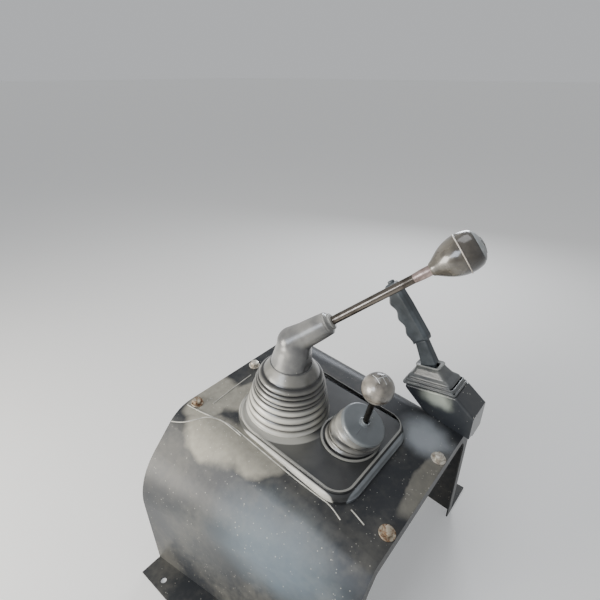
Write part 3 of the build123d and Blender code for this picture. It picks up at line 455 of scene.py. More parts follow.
def plate_finish():
    """Dark rubber that is pale on the crest, the borders and the ring round the bellows."""
    made, tree, shader, place = start_finish("moulded rubber of the lever plate")
    own = node(tree, "ShaderNodeMapping", {
        "Vector": place, "Location": PLATE_AT, "Rotation": (PLATE_SLOPE, 0, 0)}, vector_type="TEXTURE")
    own = node(tree, "ShaderNodeSeparateXYZ", {0: own}).outputs
    cloud = patches(tree, place, 40, 0.35, 0.72, 6)
    grey = node(tree, "ShaderNodeMath", {0: cloud, 1: 0.22}, operation="MULTIPLY")
    torn = ragged(tree, place, 40, 30)
    # a painted pool of sunlight on the plate's front left
    painted_sunlight = soft_spot(tree, torn, (-0.066, 0.045, 0.25), (0.06, 0.10, 0.05), 0.0, 0.5, 0.3)
    level = node(tree, "ShaderNodeCombineXYZ", {"X": own["X"], "Y": own["Y"]})
    reach = node(tree, "ShaderNodeVectorMath", {0: level}, operation="LENGTH").outputs["Value"]
    ring = node(tree, "ShaderNodeMath", {
        0: rubbed(tree, reach, *FOOT_RING), 1: rubbed(tree, own["X"], *FOOT_SIDE, 0.8)}, operation="MULTIPLY")
    layers = [(grey, "#5c5c59"), (painted_sunlight, "#97958b"), (ring, "#cbc8be"),
              (rubbed(tree, own["Z"], *CREST, 0.65), "#b3b2aa")]
    uneven = node(tree, "ShaderNodeMapRange", {"Value": cloud, "To Min": 0.7, "To Max": 1.15})
    for axis, start, full, strength, tint in BORDERS:
        border = node(tree, "ShaderNodeMath", {0: rubbed(tree, own[axis], start, full, strength), 1: uneven},
                      operation="MULTIPLY", use_clamp=True)
        layers.append((border, tint))
    layers.append((specks(tree, place, 9, 0.08, 0.03, 22, 0.48, 0.58), "#d3cfc4"))
    wire(tree, shader, {
        "Base Color": coats(tree, "#242526", *layers), "Roughness": 0.36, "Coat Weight": 0.45,
        "Coat Roughness": FILM_ROUGHNESS, "Normal": grain(tree, place, RUBBER_GRAIN_MM, 3, 0.06)})
    return made


plate_rubber = plate_finish()
print("plate", plate_rubber.name)

# %% [markdown]
# ## Bare metals
#
# The rods are bare steel that hands have polished and damp has browned, the bolts zinc plated steel
# that rusts from its edges, and the lever housing a sand casting. All are the same recipe: a metal
# whose bright and tarnished colours mix in blotches, with the tarnish rougher, and a fine grain.

# %% Bare metals


def bare_metal(name, bright, dark, smooth, rough, blotch_mm, metallic=1.0, grain_mm=0.8):
    """Metal in a bright and a tarnished colour, each with its own roughness."""
    made, tree, shader, place = start_finish(name)
    blotch = patches(tree, place, blotch_mm, 0.38, 0.66, 6)
    roughness = node(tree, "ShaderNodeMapRange", {"Value": blotch, "To Min": smooth, "To Max": rough})
    wire(tree, shader, {
        "Base Color": coats(tree, bright, (blotch, dark)), "Roughness": roughness, "Metallic": metallic,
        "Normal": grain(tree, place, grain_mm, 4, 0.05, 0.6)})
    return made


worn_steel = bare_metal("worn bare steel", "#7f776e", "#4d4740", 0.2, 0.34, 22)
dark_steel = bare_metal("browned steel", "#5b5752", "#34312e", 0.22, 0.4, 12)
pink_steel = bare_metal("bare steel with a copper flush", "#c9b3ab", "#8f7f79", 0.3, 0.45, 12)
zinc_steel = bare_metal("zinc plated steel", "#b0afa8", "#7f7c72", 0.35, 0.55, 18)
rusty_zinc = bare_metal("zinc plated steel with rust", "#b1a794", "#7a5a40", 0.42, 0.75, 5, 0.7)
pale_zinc = bare_metal("dull zinc plated steel", "#e0dccf", "#a3988a", 0.4, 0.6, 6, 0.6)
cast_alloy = bare_metal("sand cast alloy", "#9a9b9c", "#7d7e7f", 0.5, 0.65, 20, 0.85, 1.6)
METALS = (worn_steel, dark_steel, pink_steel, zinc_steel, rusty_zinc, pale_zinc, cast_alloy)
print("metals", [m.name for m in METALS])

# %% [markdown]
# ## Hard plastic
#
# Knobs and grip are moulded plastic, rubbed pale by hands in broad soft spots. Touch also polishes
# them, so the knobs get a clear coat that mirrors the lamps sharply over a duller base.

# %% Hard plastic


def hard_plastic(name, fresh, rubbed_pale, gloss, blotch_mm=25, polish=0.0):
    """Plastic from a fresh to a rubbed colour, under a clear coat as strong as its polish."""
    made, tree, shader, place = start_finish(name)
    pale_share = patches(tree, place, blotch_mm, 0.32, 0.7)
    roughness = node(tree, "ShaderNodeMapRange", {
        "Value": pale_share, "To Min": gloss, "To Max": gloss + WORN_ROUGHER})
    wire(tree, shader, {
        "Base Color": coats(tree, fresh, (pale_share, rubbed_pale)), "Roughness": roughness, "Coat Weight": polish,
        "Coat Roughness": 0.12, "Normal": grain(tree, place, 1.4, 3, 0.04)})
    return made


knob_plastic = hard_plastic("rubbed brown knob plastic", "#38342f", "#6f6a60", 0.2, 38, 0.9)
ball_plastic = hard_plastic("rubbed plastic of the ball knob", "#4c4843", "#979187", 0.24, 24, 0.8)
# light grey, partly the cap's own colour and partly a painted reflection on the knob's top; the ball's gate
# pattern uses it too
cap_plastic = hard_plastic("grey plastic of the knob cap", "#b3b6b5", "#d6d9d8", 0.3, 9)
# the raised seam is pale as a painted highlight along its ridge
seam_highlight_plastic = hard_plastic("pale seam of the knob", "#b7aca0", "#d8d2c8", 0.3, 9)
seam_brown = hard_plastic("grime in the seam of the ball knob", "#4a3c30", "#6b5a49", 0.5, 9)
grip_plastic = hard_plastic("black grip plastic", "#3d4144", "#565c60", 0.34)
pale_bead_finish = hard_plastic("pale bead on the cover", "#a8a69d", "#cfccc2", 0.5, 12)
print("finishes", len(bpy.data.materials))

# %% [markdown]
# ## How pieces are made
#
# Round pieces are turned: a few points of the outline are spun round an axis. They could be joined
# from cones and rings, but one outline keeps every edge in step. The mouldings that aren't round
# start from their CAD solids, further down.

# %% Helpers for turned pieces


def show(name, bm, finish, body=None, replaces=(), smooth=40):
    """Turns a bmesh into a piece of the scene that rides on a body."""
    mesh = bpy.data.meshes.new(name)
    bm.to_mesh(mesh)
    bm.free()
    for face in mesh.polygons:
        face.use_smooth = True
    mesh.set_sharp_from_angle(angle=radians(smooth))
    mesh.materials.append(finish)
    made = bpy.data.objects.new(name, mesh)
    bpy.context.scene.collection.objects.link(made)
    if replaces:
        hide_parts(*replaces)
    if body:
        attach(made, body)
    print(f"{name}: {len(mesh.polygons)} faces")
    return made


def turned(profile, matrix, steps=96):
    """A bmesh spun from an outline given as radius and height in millimetres."""
    bm = bmesh.new()
    points = [bm.verts.new((r * MM, 0, z * MM)) for r, z in profile]
    edges = [bm.edges.new(pair) for pair in zip(points, points[1:])]
    bmesh.ops.spin(bm, geom=points + edges, cent=(0, 0, 0), axis=(0, 0, 1), angle=2 * pi, steps=steps,
                   use_merge=True)
    bmesh.ops.remove_doubles(bm, verts=bm.verts, dist=1e-6)
    bmesh.ops.recalc_face_normals(bm, faces=bm.faces)
    bmesh.ops.transform(bm, matrix=matrix, verts=bm.verts)
    return bm


def curve_points(start, first, second, end, count):
    """Points on a bezier curve in the plane of an outline, without its last point."""
    flat = [Vector((r, z, 0)) for r, z in (start, first, second, end)]
    return [(p.x, p.y) for p in interpolate_bezier(*flat, count)][:-1]


def facing(way):
    """A turn whose Z axis points a given way."""
    return way.to_track_quat("Z", "Y").to_matrix().to_4x4()


# %% [markdown]
# ## Gear lever bellows
#
# The bellows is one rubber moulding on the real lever. It is modelled as two, divided in a groove,
# a lower half on the plate and an upper half up to the lever's sleeve.
# The outline is a table of grooves, and each fold is one bezier curve between two of them. The curve
# keeps the folds round where a zigzag of straight lines would look like a bellows of paper.

# %% Outline of the bellows
WALL = 2.4
# Each groove's radius and height, and the radius of the fold above it, in millimetres.
FOLDS = ((59.0, 9.0, 59.6), (56.2, 19.0, 57.2), (53.4, 31.0, 54.8), (50.9, 41.2, 52.3), (50.0, 47.0, 51.0),
         (46.9, 55.0, 48.4), (44.9, 61.0, 45.6), (40.4, 69.0, 0.0))
GROOVES = [height for _, height, _ in FOLDS]
SPLIT = 3
print("grooves at", GROOVES)


def fold_line(folds):
    """The outline of the folds, from the first groove to the last."""
    line = []
    for (r, z, belly), (next_r, next_z, _) in zip(folds, folds[1:]):
        out = (belly - (r + next_r) / 2) / 0.75
        lean = (next_z - z) * 0.12
        line += curve_points((r, z), (r + out, z + lean), (next_r + out, next_z - lean), (next_r, next_z), 9)
    return line + [folds[-1][:2]]


# %% Painted shade in the grooves, pale folds
GROOVE_REACH_MM = 3.4


def paint_folds(made, grooves):
    """Stores how far a point is from the nearest groove, 0 in a groove and 1 on a fold."""
    back = PLATE.inverted()
    values = []
    for vert in made.data.vertices:
        height = (back @ vert.co).z / MM
        gaps = [abs(height - groove) for groove in grooves]
        values.append(min(min(gaps) / GROOVE_REACH_MM, 1.0) ** 1.5)
    # the shader keeps the deep colour where this is 0, as painted shade in the grooves
    made.data.attributes.new("fold", "FLOAT", "POINT").data.foreach_set("value", values)


# %% Lower half of the bellows
foot = [(46.4, 0.0), (62.0, 0.0), (62.5, 0.6), (62.5, 2.4), (62.0, 3.0), (60.7, 3.6), (60.2, 4.6)]
low_line = foot + fold_line(FOLDS[:SPLIT + 1])
low_inner = [(r - WALL, z) for r, z, _ in reversed(FOLDS[1:SPLIT + 1])]
low_inner += [(50.0, 4.0), (46.4, 3.0), (46.4, 0.0)]
low_half = show("gear_bellows_lower", turned(low_line + low_inner, PLATE, 128), gaiter_rubber,
                replaces=("gear_gaiter",))
paint_folds(low_half, GROOVES)
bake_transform(low_half)

# %% Upper half of the bellows
cone = curve_points(FOLDS[-1][:2], (39.0, 72.0), (33.0, 80.0), (30.2, 83.0), 8) + [(30.2, 83.0), (29.4, 84.0)]
top_line = fold_line(FOLDS[SPLIT:])[:-1] + cone
top_inner = [(27.0, 84.0), (38.0, 68.0)] + [(r - WALL, z) for r, z, _ in reversed(FOLDS[SPLIT:-1])]
top_half = show("gear_bellows_upper", turned(top_line + top_inner + [top_line[0]], PLATE, 128), gaiter_rubber,
                replaces=("gear_gaiter",))
paint_folds(top_half, GROOVES)
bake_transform(top_half)

# %% [markdown]
# ## Sleeve of the gear lever
#
# A smooth rubber sleeve covers the lever's elbow. A bent tube could be swept along a curve, but the
# real moulding has flats and swellings. So a merged copy of the CAD solid is remeshed into small even
# faces and smoothed, which rounds every edge the way a mould does, and is then pressed and widened.

# %% A moulding from a CAD solid


def settle(made):
    """Applies the modifiers of a piece."""
    bpy.context.view_layer.update()
    mesh = bpy.data.meshes.new_from_object(made.evaluated_get(bpy.context.evaluated_depsgraph_get()))
    old = made.data
    made.modifiers.clear()
    made.data = mesh
    bpy.data.meshes.remove(old)
    return mesh


def moulded(name, source, finish, voxel_mm, rounds, body=None):
    """A smooth moulding made from a merged copy of a CAD solid."""
    bm = bmesh.new()
    bm.from_mesh(nodes[source].data)
    bmesh.ops.remove_doubles(bm, verts=bm.verts, dist=2e-6)
    bmesh.ops.recalc_face_normals(bm, faces=bm.faces)
    mesh = bpy.data.meshes.new(name)
    bm.to_mesh(mesh)
    bm.free()
    made = bpy.data.objects.new(name, mesh)
    bpy.context.scene.collection.objects.link(made)
    remesh = made.modifiers.new("even faces", "REMESH")
    remesh.mode = "VOXEL"
    remesh.voxel_size = voxel_mm * MM
    soften = made.modifiers.new("mould radius", "SMOOTH")
    soften.factor = 0.5
    soften.iterations = rounds
    mesh = settle(made)
    mesh.materials.clear()
    mesh.materials.append(finish)
    for face in mesh.polygons:
        face.use_smooth = True
    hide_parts(source)
    if body:
        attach(made, body)
    print(f"{name}: {len(mesh.polygons)} faces")
    return made


# %% Body of the sleeve
sleeve = moulded("gear_sleeve_moulding", "gear_sleeve", sleeve_rubber, 0.9, 24, "gear_lever")


def press_flat(made, matrix, way, distance_mm, low_mm, high_mm):
    """Presses a flat into a round piece, so that nothing between two heights stands out past a plane."""
    back = matrix.inverted()
    for vert in made.data.vertices:
        own = back @ vert.co
        over = own.x * way[0] + own.y * way[1] - distance_mm * MM
        if over > 0 and low_mm * MM < own.z < high_mm * MM:
            vert.co = matrix @ Vector((own.x - way[0] * over, own.y - way[1] * over, own.z))


press_flat(sleeve, PLATE, (0.25, -0.968), 23.6, 85.6, 104.0)

# %% Arm and tip of the sleeve
ELBOW = Vector((0, 0, 121.5)) * MM  # on the gear lever's axis, above the plate
KNOB_WAY = Vector((0.470, -0.620, 0.630)).normalized()
ARM = PLATE @ Matrix.Translation(ELBOW) @ facing(KNOB_WAY)


def widen(made, matrix, start_mm, full_mm, end_mm, gain):
    """Widens a tapered arm from one height on, most at full_mm and no more at end_mm."""
    back = matrix.inverted()
    for vert in made.data.vertices:
        own = back @ vert.co
        height = own.z / MM
        share = min((height - start_mm) / (full_mm - start_mm), (end_mm - height) / (end_mm - full_mm))
        wide = 1 + gain * max(share, 0.0)
        vert.co = matrix @ Vector((own.x * wide, own.y * wide, own.z))


collar_line = [(28.6, 83.9), (29.5, 83.9), (30.0, 84.4), (30.0, 85.2), (29.5, 85.7), (28.6, 85.7),
               (28.6, 83.9)]
show("gear_sleeve_collar", turned(collar_line, PLATE @ Matrix.Translation((-1.8 * MM, 0.8 * MM, 0))),
     sleeve_rubber, "gear_lever")
widen(sleeve, ARM, 18, 53, 58, 0.18)
tip_line = [(5.0, 52.0), (15.3, 52.0), (15.9, 52.8), (15.6, 54.2), (14.0, 55.4), (11.7, 56.2), (10.9, 57.2),
            (11.5, 58.1), (11.2, 59.5), (9.4, 60.5), (7.2, 60.8), (6.4, 60.2), (5.0, 60.2), (5.0, 52.0)]
show("gear_sleeve_tip", turned(tip_line, ARM, 64), sleeve_rubber, "gear_lever")

# %% [markdown]
# ## Rod of the gear lever
#
# The steel rod thickens into a pinkish ferrule below the knob. Both are thin tubes over the rod of
# the frame, because the lever looks thicker than its CAD solid.

# %% Rod and ferrule
ROD_R, TUBE_R = 4.45, 5.8
TUBE_END = 176.0
KNOB_AT = 198.0  # where the knob starts, in millimetres from the elbow

tube_line = [(ROD_R, 60.0), (TUBE_R, 60.0), (TUBE_R, TUBE_END), (ROD_R, TUBE_END), (ROD_R, 60.0)]
show("gear_rod_tube", turned(tube_line, ARM, 64), worn_steel, "gear_lever")
ferrule_line = [(ROD_R, 175.9), (5.9, 175.9), (6.0, 177.0), (6.7, 188.0), (6.8, 198.2), (ROD_R, 198.2),
                (ROD_R, 175.9)]
show("gear_rod_ferrule", turned(ferrule_line, ARM, 64), pink_steel, "gear_lever")

# %% [markdown]
# ## Knob of the gear lever
#
# The knob is turned from hard plastic with a raised moulding seam, pale as a painted highlight, and a
# light grey domed cap closes its end, its grey partly its own colour and partly a painted reflection on
# the knob's top. A texture could carry the cap's plain gate pattern, but thin raised bars also catch
# the light and stay sharp. Each bar is a curve with a round section, laid on the dome.

# %% Knob
KNOB = ARM @ Matrix.Translation((0, 0, KNOB_AT * MM))

knob_line = [(0, 0), (6.8, 0.0), (8.2, 0.8)]
knob_line += curve_points((8.8, 2.0), (11.8, 8.0), (18.8, 15.0), (22.2, 25.0), 14)
knob_line += curve_points((22.2, 25.0), (24.0, 30.5), (25.0, 35.0), (25.3, 39.0), 8)
knob_line += [(25.3, 39.0), (25.8, 39.4), (25.9, 40.0), (25.8, 40.6), (25.3, 41.0)]
knob_line += curve_points((25.3, 41.0), (25.5, 45.5), (24.8, 51.0), (22.6, 56.4), 10)
knob_line += [(22.6, 56.4), (21.3, 58.1), (20.6, 58.9), (20.2, 58.8), (20.0, 58.2), (0, 58.2)]
show("gear_knob_turned", turned(knob_line, KNOB, 96), knob_plastic, "gear_lever",
     ("gear_knob",))
seam_line = [(25.0, 39.2), (25.8, 39.3), (26.1, 39.7), (26.1, 40.3), (25.8, 40.7), (25.0, 40.8), (25.0, 39.2)]
show("gear_knob_seam", turned(seam_line, KNOB, 96), seam_highlight_plastic, "gear_lever")

# %% Cap of the knob
# The cap's light grey is partly a painted reflection on the knob's top.
DOME_R, DOME_TOP, DOME_DROP = 19.6, 66.35, 6.2

cap_line = [(0, 58.6), (19.5, 58.6), (DOME_R, 59.7)]
cap_line += curve_points((DOME_R, 59.7), (18.8, 61.3), (10.0, 66.0), (0, 66.4), 14) + [(0, 66.4)]
show("gear_knob_cap_disc", turned(cap_line, KNOB, 96), cap_plastic, "gear_lever",
     ("gear_knob_cap",))

# %% Bars of the gate pattern


def bead(name, routes, radius_mm, finish, body, matrix=None):
    """Thin round beads along routes given in millimetres, as one piece."""
    data = bpy.data.curves.new(name, "CURVE")
    data.dimensions = "3D"
    data.bevel_depth = radius_mm * MM
    data.bevel_resolution = 3
    data.use_fill_caps = True
    for route in routes:
        spline = data.splines.new("NURBS")
        spline.points.add(len(route) - 1)
        for point, place in zip(spline.points, route):
            point.co = (*(v * MM for v in place), 1)
        spline.use_endpoint_u = True
        spline.order_u = 3
    curve = bpy.data.objects.new(name + "_path", data)
    bpy.context.scene.collection.objects.link(curve)
    bpy.context.view_layer.update()
    mesh = bpy.data.meshes.new_from_object(curve.evaluated_get(bpy.context.evaluated_depsgraph_get()))
    bpy.data.objects.remove(curve)
    bm = bmesh.new()
    bm.from_mesh(mesh)
    bmesh.ops.transform(bm, matrix=matrix or Matrix.Identity(4), verts=bm.verts)
    return show(name, bm, finish, body, (), 60)


def on_dome(x, y):
    """A point on the cap's dome, in millimetres."""
    return x, y, DOME_TOP - DOME_DROP * (x * x + y * y) / DOME_R ** 2


GATE_BARS = [[(x, y) for y in (-9, -4, 0, 4, 9)] for x in (-8, 0, 8)] + [[(x, 0) for x in (-8, -4, 0, 4, 8)]]
bead("gear_gate_lines", [[on_dome(x, y) for x, y in bar] for bar in GATE_BARS], 0.45, knob_plastic,
     "gear_lever", KNOB)

# %% [markdown]
# ## Bellows of the transfer lever
#
# The short bellows leans back with the lever, so a turned outline can't make it. Its rings are drawn
# one by one on planes that turn from the plate's to the cap's, and are bridged. It is divided in a
# groove like the large one.

# %% Rings of the short bellows
FOOT = Vector((16.0, -102.0, 0.0))
CAP_MIDDLE = Vector((21.5, -116.0, 34.0))
CAP_WAY = Vector((0.05, -0.36, 0.93)).normalized()
CAP_UNDER = CAP_MIDDLE - CAP_WAY * 9.3
# Each ring's share of the way from the plate to the cap, and its radius in millimetres.
RINGS = ((0.0, 36.5), (0.05, 36.6), (0.1, 36.2), (0.16, 34.4), (0.22, 33.6), (0.28, 34.0), (0.36, 36.2),
         (0.46, 36.7), (0.54, 34.6), (0.6, 32.6), (0.66, 32.4), (0.73, 34.0), (0.8, 34.8), (0.88, 34.4),
         (0.94, 32.6), (1.0, 31.3))
DIVIDE = 9
SMALL_WALL = 3.0
SMALL_GROOVES = (0.0, 7.0, 16.0)


def ring_matrix(share):
    """Where a ring of the short bellows lies, a share of the way from the plate to the cap."""
    way = (Vector((0, 0, 1)) * (1 - share) + CAP_WAY * share).normalized()
    return PLATE @ Matrix.Translation((FOOT + (CAP_UNDER - FOOT) * share) * MM) @ facing(way)


def ringed(rings, wall):
    """A tube of bridged rings with an inner wall, closed at both rims."""
    bm = bmesh.new()
    rounds = [(share, r) for share, r in rings] + [(share, r - wall) for share, r in reversed(rings)]
    loops = []
    for share, r in rounds:
        made = bmesh.ops.create_circle(bm, segments=96, radius=r * MM, matrix=ring_matrix(share))
        loops.append(list({edge for vert in made["verts"] for edge in vert.link_edges}))
    for first, second in zip(loops, loops[1:] + loops[:1]):
        bmesh.ops.bridge_loops(bm, edges=first + second)
    bmesh.ops.recalc_face_normals(bm, faces=bm.faces)
    return bm


# %% Lower and upper half of the short bellows
small_low = show("transfer_bellows_lower", ringed(RINGS[:DIVIDE + 1], SMALL_WALL), gaiter_rubber,
                 replaces=("transfer_gaiter",))
divide_at = ring_matrix(RINGS[DIVIDE][0])
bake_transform(small_low)
small_top = show("transfer_bellows_upper", ringed(RINGS[DIVIDE:], SMALL_WALL), gaiter_rubber,
                 replaces=("transfer_gaiter",))
cap_at = ring_matrix(1.0)
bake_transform(small_top)
for piece in (small_low, small_top):
    paint_folds(piece, SMALL_GROOVES)

# %% [markdown]
# ## Cap and knob of the transfer lever
#
# A tilted rubber cap closes the short bellows, and the ball knob is plastic in two halves. Both are
# round, so both are turned. The seam is a groove in the ball's outline with a dark ring in it, and the
# mould's parting line on the cap and the plain gate pattern on the ball are thin beads.

# %% Cap of the short bellows
CAP = PLATE @ Matrix.Translation(CAP_MIDDLE * MM) @ facing(CAP_WAY)

cap_line = [(4.3, -8.9), (30.0, -8.9), (31.9, -8.2), (32.7, -6.8), (32.8, -4.0), (32.4, -1.9), (31.2, -0.9),
            (29.0, -0.6), (16.0, -0.3), (8.6, 0.0), (7.2, 0.6), (6.8, 1.8), (6.7, 4.6), (7.0, 5.4),
            (6.6, 6.1), (5.6, 6.3), (4.7, 6.0), (4.3, 5.2), (4.3, -8.9)]
show("transfer_cap_disc", turned(cap_line, CAP, 96), cap_rubber, "transfer_lever",
     ("transfer_cap",), 60)

# %% Ball knob
BALL_R = 21.0
BALL_MIDDLE = Vector((18.0, -124.0, 105.0))
BALL = PLATE @ Matrix.Translation(BALL_MIDDLE * MM) @ facing(BALL_MIDDLE - CAP_MIDDLE)


def arc(first, stop):
    """Points on the ball's outline, 6 degrees apart, with angles counted up from its equator."""
    return [(BALL_R * cos(radians(a)), BALL_R * sin(radians(a))) for a in range(first, stop, 6)]


ball_line = [(0.0, -20.4), (6.2, -20.4)] + arc(-70, -19)
ball_line += [(20.2, -5.7), (19.5, -5.3), (19.5, -4.7), (20.5, -4.3)] + arc(-8, 90) + [(0, BALL_R)]
show("transfer_knob_ball", turned(ball_line, BALL, 96), ball_plastic, "transfer_lever",
     ("transfer_knob",))
joint_line = [(19.4, -5.4), (20.0, -5.4), (20.3, -5.0), (20.0, -4.6), (19.4, -4.6), (19.4, -5.4)]
show("transfer_knob_seam", turned(joint_line, BALL, 96), seam_brown, "transfer_lever")

# %% Gate pattern on the ball
BAR_SINK = 0.1  # how far the middle of a bar lies inside the ball


def on_ball(x, y):
    """A point on the upper half of the ball, in millimetres from its middle."""
    return x, y, ((BALL_R - BAR_SINK) ** 2 - x * x - y * y) ** 0.5


BALL_BARS = [[(-7, 9), (-7, 4), (-7, 0), (-7, -6)], [(-7, 0), (-2, 0), (3, 0), (8, 0)],
             [(8, 9), (8, 4), (8, 0), (8, -7)], [(0.5, 0), (0.5, -5), (0.5, -10)]]
bead("transfer_gate_lines", [[on_ball(x, y) for x, y in bar] for bar in BALL_BARS], 0.55, cap_plastic,
     "transfer_lever", BALL)

# %% Parting line of the cap
HALF_PARTING = [(7.5, -0.2, 0.1), (16, -0.4, -0.2), (24, -0.6, -0.4), (30.6, -0.8, -0.8), (32.7, -0.8, -3.4)]
PARTING = [HALF_PARTING, [(-x, -y, z) for x, y, z in HALF_PARTING]]
bead("transfer_cap_parting", PARTING, 0.4, cap_rubber, "transfer_lever", CAP)

# %% [markdown]
# ## Lever plate
#
# The plate is a thick rubber moulding whose border steps down to the cover. It could be remeshed like
# the sleeve, but its flats would turn uneven. Its CAD solid has the steps, so a merged copy only needs
# small rounded edges, which a Bevel modifier gives.

# %% Plate with rounded edges


def rounded(name, source, finish, width_mm, body, angle=32):
    """A merged copy of a CAD solid with its sharp edges rounded."""
    bm = bmesh.new()
    bm.from_mesh(nodes[source].data)
    bmesh.ops.remove_doubles(bm, verts=bm.verts, dist=2e-6)
    bmesh.ops.dissolve_limit(bm, angle_limit=radians(0.6), verts=bm.verts, edges=bm.edges)
    bmesh.ops.recalc_face_normals(bm, faces=bm.faces)
    made = show(name, bm, finish, None, (source,), angle)
    soften = made.modifiers.new("rounded edges", "BEVEL")
    soften.width = width_mm * MM
    soften.segments = 2
    soften.limit_method = "ANGLE"
    soften.angle_limit = radians(angle)
    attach(made, body)


rounded("lever_plate_moulding", "lever_plate", plate_rubber, 0.5, "tunnel")

# %% [markdown]
# ## Handbrake
#
# The handbrake has a stepped rubber gaiter on a pressed console, a plastic shroud and a grip with
# finger hollows. Rubber and grip have no flats to keep, so they are remeshed copies of their solids.
# The gaiter's mouth has a rolled lip that hugs the shroud, bridged from rounded rectangles.

# %% Gaiter of the handbrake
brake_gaiter = moulded("handbrake_gaiter_moulding", "handbrake_gaiter", brake_rubber, 0.9, 3)
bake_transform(brake_gaiter)

# %% Rolled lip of the gaiter
CONSOLE = Matrix.Translation((0.163, -0.1005, 0.26175)) @ Matrix.Rotation(radians(-9.46), 4, "X")
LIP_AHEAD = 6.1
# Each loop's width, length, corner radius and height above the console, in millimetres.
LIP = ((26.6, 38.6, 5.0, 31.6), (27.4, 39.4, 5.4, 32.4), (27.2, 39.2, 5.3, 33.4), (25.6, 37.6, 4.6, 34.0),
       (23.6, 35.6, 4.2, 33.4), (17.0, 27.6, 3.2, 32.0), (16.7, 27.2, 3.1, 30.8), (23.0, 35.0, 4.0, 31.6))


def rounded_loop(bm, matrix, broad, long, radius):
    """The edges of a rounded rectangle in the XY plane of a matrix, in millimetres."""
    verts = bmesh.ops.create_grid(bm, x_segments=1, y_segments=1, size=0.5)["verts"]
    face = verts[0].link_faces[0]
    bmesh.ops.scale(bm, vec=(broad * MM, long * MM, 1), verts=verts)
    others = set(bm.faces) - {face}
    bmesh.ops.bevel(bm, geom=verts, offset=radius * MM, segments=5, profile=0.5, affect="VERTICES",
                    material=-1)
    face = (set(bm.faces) - others).pop()
    bmesh.ops.transform(bm, matrix=matrix, verts=face.verts)
    edges = list(face.edges)
    bmesh.ops.delete(bm, geom=[face], context="FACES_ONLY")
    return edges


lip_bm = bmesh.new()
loops = []
for broad, long, radius, high in LIP:
    level = CONSOLE @ Matrix.Translation((0, LIP_AHEAD * MM, high * MM))
    loops.append(rounded_loop(lip_bm, level, broad, long, radius))
for first, second in zip(loops, loops[1:] + loops[:1]):
    bmesh.ops.bridge_loops(lip_bm, edges=first + second)
bmesh.ops.recalc_face_normals(lip_bm, faces=lip_bm.faces)
show("handbrake_gaiter_lip", lip_bm, lip_rubber, "handbrake", (), 35)

# %% Grip, shroud and button
moulded("handbrake_grip_moulding", "handbrake_grip", grip_plastic, 0.8, 4, "handbrake")
moulded("handbrake_shroud", "handbrake_lever", grip_plastic, 0.8, 2, "handbrake")
rounded("handbrake_button_cap", "handbrake_button", grip_plastic, 0.4, "handbrake")

# %% [markdown]
# ## Edge bolts
#
# Five hexagon bolts with washers hold the front and rear edges of the cover. The washer is turned, and
# the head is a cone operator with six sides and two equal radii, because that is the quickest hexagon.
# Its edges are bevelled, as a forged head's are round.

# %% Edge bolts
# Each bolt's place and its washer's radius in millimetres, and its finish.
BOLTS = {"front_bolt_left": (-103, 149, 9, rusty_zinc), "front_bolt_mid": (16, 149, 9, pale_zinc),
         "front_bolt_right": (96, 149, 9, pale_zinc), "rear_bolt_left": (-72, -155, 10.5, rusty_zinc),
         "rear_bolt_right": (72, -155, 10.5, pale_zinc)}
FRONT_Y, FRONT_Z = 161, 262  # the front edge of the cover's top
FALL = 53 / 327  # how steeply the top falls towards the rear
WASHER_HIGH = 1.8
HEAD_R, HEAD_HIGH = 6.9, 5.8

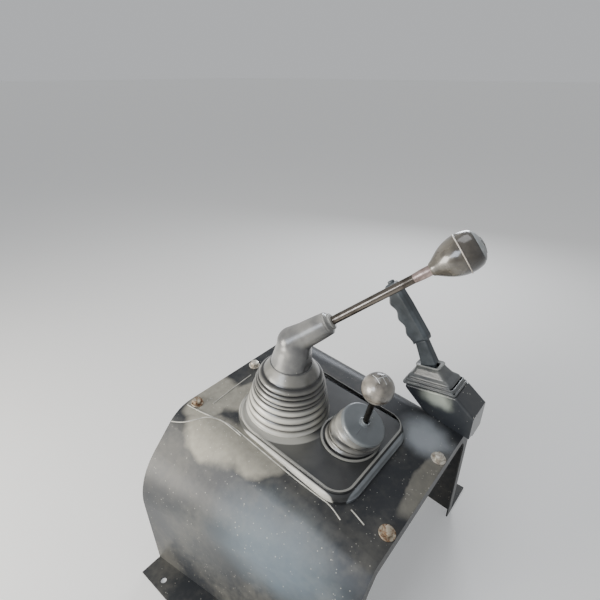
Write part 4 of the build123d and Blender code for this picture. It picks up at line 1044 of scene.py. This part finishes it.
for name, (x, y, washer_r, finish) in BOLTS.items():
    top_z = FRONT_Z + (y - FRONT_Y) * FALL
    bolt_at = Matrix.Translation((x * MM, y * MM, top_z * MM)) @ Matrix.Rotation(atan2(FALL, 1), 4, "X")
    washer_line = [(0, 0.05), (washer_r - 0.3, 0.05), (washer_r, 0.4), (washer_r, WASHER_HIGH - 0.5),
                   (washer_r - 0.5, WASHER_HIGH), (0, WASHER_HIGH)]
    bm = turned(washer_line, bolt_at, 48)
    head_at = bolt_at @ Matrix.Translation((0, 0, (WASHER_HIGH + HEAD_HIGH / 2) * MM))
    head = bmesh.ops.create_cone(bm, cap_ends=True, segments=6, radius1=HEAD_R * MM, radius2=HEAD_R * MM,
                                 depth=HEAD_HIGH * MM, matrix=head_at)
    head_edges = list({edge for vert in head["verts"] for edge in vert.link_edges})
    bmesh.ops.bevel(bm, geom=head_edges, offset=0.6 * MM, segments=2, profile=0.5, affect="EDGES",
                    material=-1)
    show(name + "_head", bm, finish, "tunnel", (name,), 30)

# %% [markdown]
# ## Pale beads
#
# Pale beads run along the plate and the front edge, where the cover shows thin bright lines. The bead
# along the plate stands for the highlight on the border's outer edge, a painted highlight. Each is a
# curve with a round section that follows the cover from point to point. A painted line would do from
# afar, but a bead throws its own small shadow.

# %% Pale beads
BEAD_R = 0.9
# Points on the cover in millimetres.
BEADS = {
    # the bead along the plate is a painted highlight on the border's outer edge
    "highlight_bead_along_plate": (
        (-115, 156, 261), (-112, 140, 259), (-107, 122, 256), (-99, 100, 252.5), (-95, 80, 249),
        (-95, 30, 241), (-95, -30, 231), (-93, -68, 224.6), (-91, -88, 221.5), (-98, -106, 219)),
    "bead_loop": (
        (-143, 159, 247.5), (-138, 146, 249), (-129, 134, 252.5), (-120, 127, 254.5),
        (-109, 119, 255.6), (-101, 106, 253.6), (-97.5, 92, 251.2), (-98, 62, 246.2)),
    "bead_front": ((-88, 132, 257.6), (-60, 134, 258), (-30, 136, 258.3), (-4, 137, 258.5)),
    "bead_rear": ((-78, -108, 218.6), (-80, -118, 217), (-83, -130, 215.2)),
}
for name, route in BEADS.items():
    bead(name, [route], BEAD_R, pale_bead_finish, "tunnel")

# %% [markdown]
# ## Finishes on the pieces that stay as the frame has them
#
# The cover, the console, the bare rods and everything below the cover are sheet, bar and castings
# with crisp edges, which their CAD solids already have. They only get their finishes.

# %% Assign finishes
FINISHES = {
    "tunnel_cover": black_paint, "handbrake_console": console_paint, "gear_rod": worn_steel,
    "transfer_rod": dark_steel, "lever_housing": cast_alloy, "handbrake_bracket": zinc_steel,
    "handbrake_pivot": zinc_steel, "gear_gate": worn_steel, "transfer_gate": worn_steel,
    "gear_cross_pin": worn_steel, "transfer_cross_pin": worn_steel,
}
for name, finish in FINISHES.items():
    nodes[name].data.materials.clear()
    nodes[name].data.materials.append(finish)
print("finished nodes", len(FINISHES))
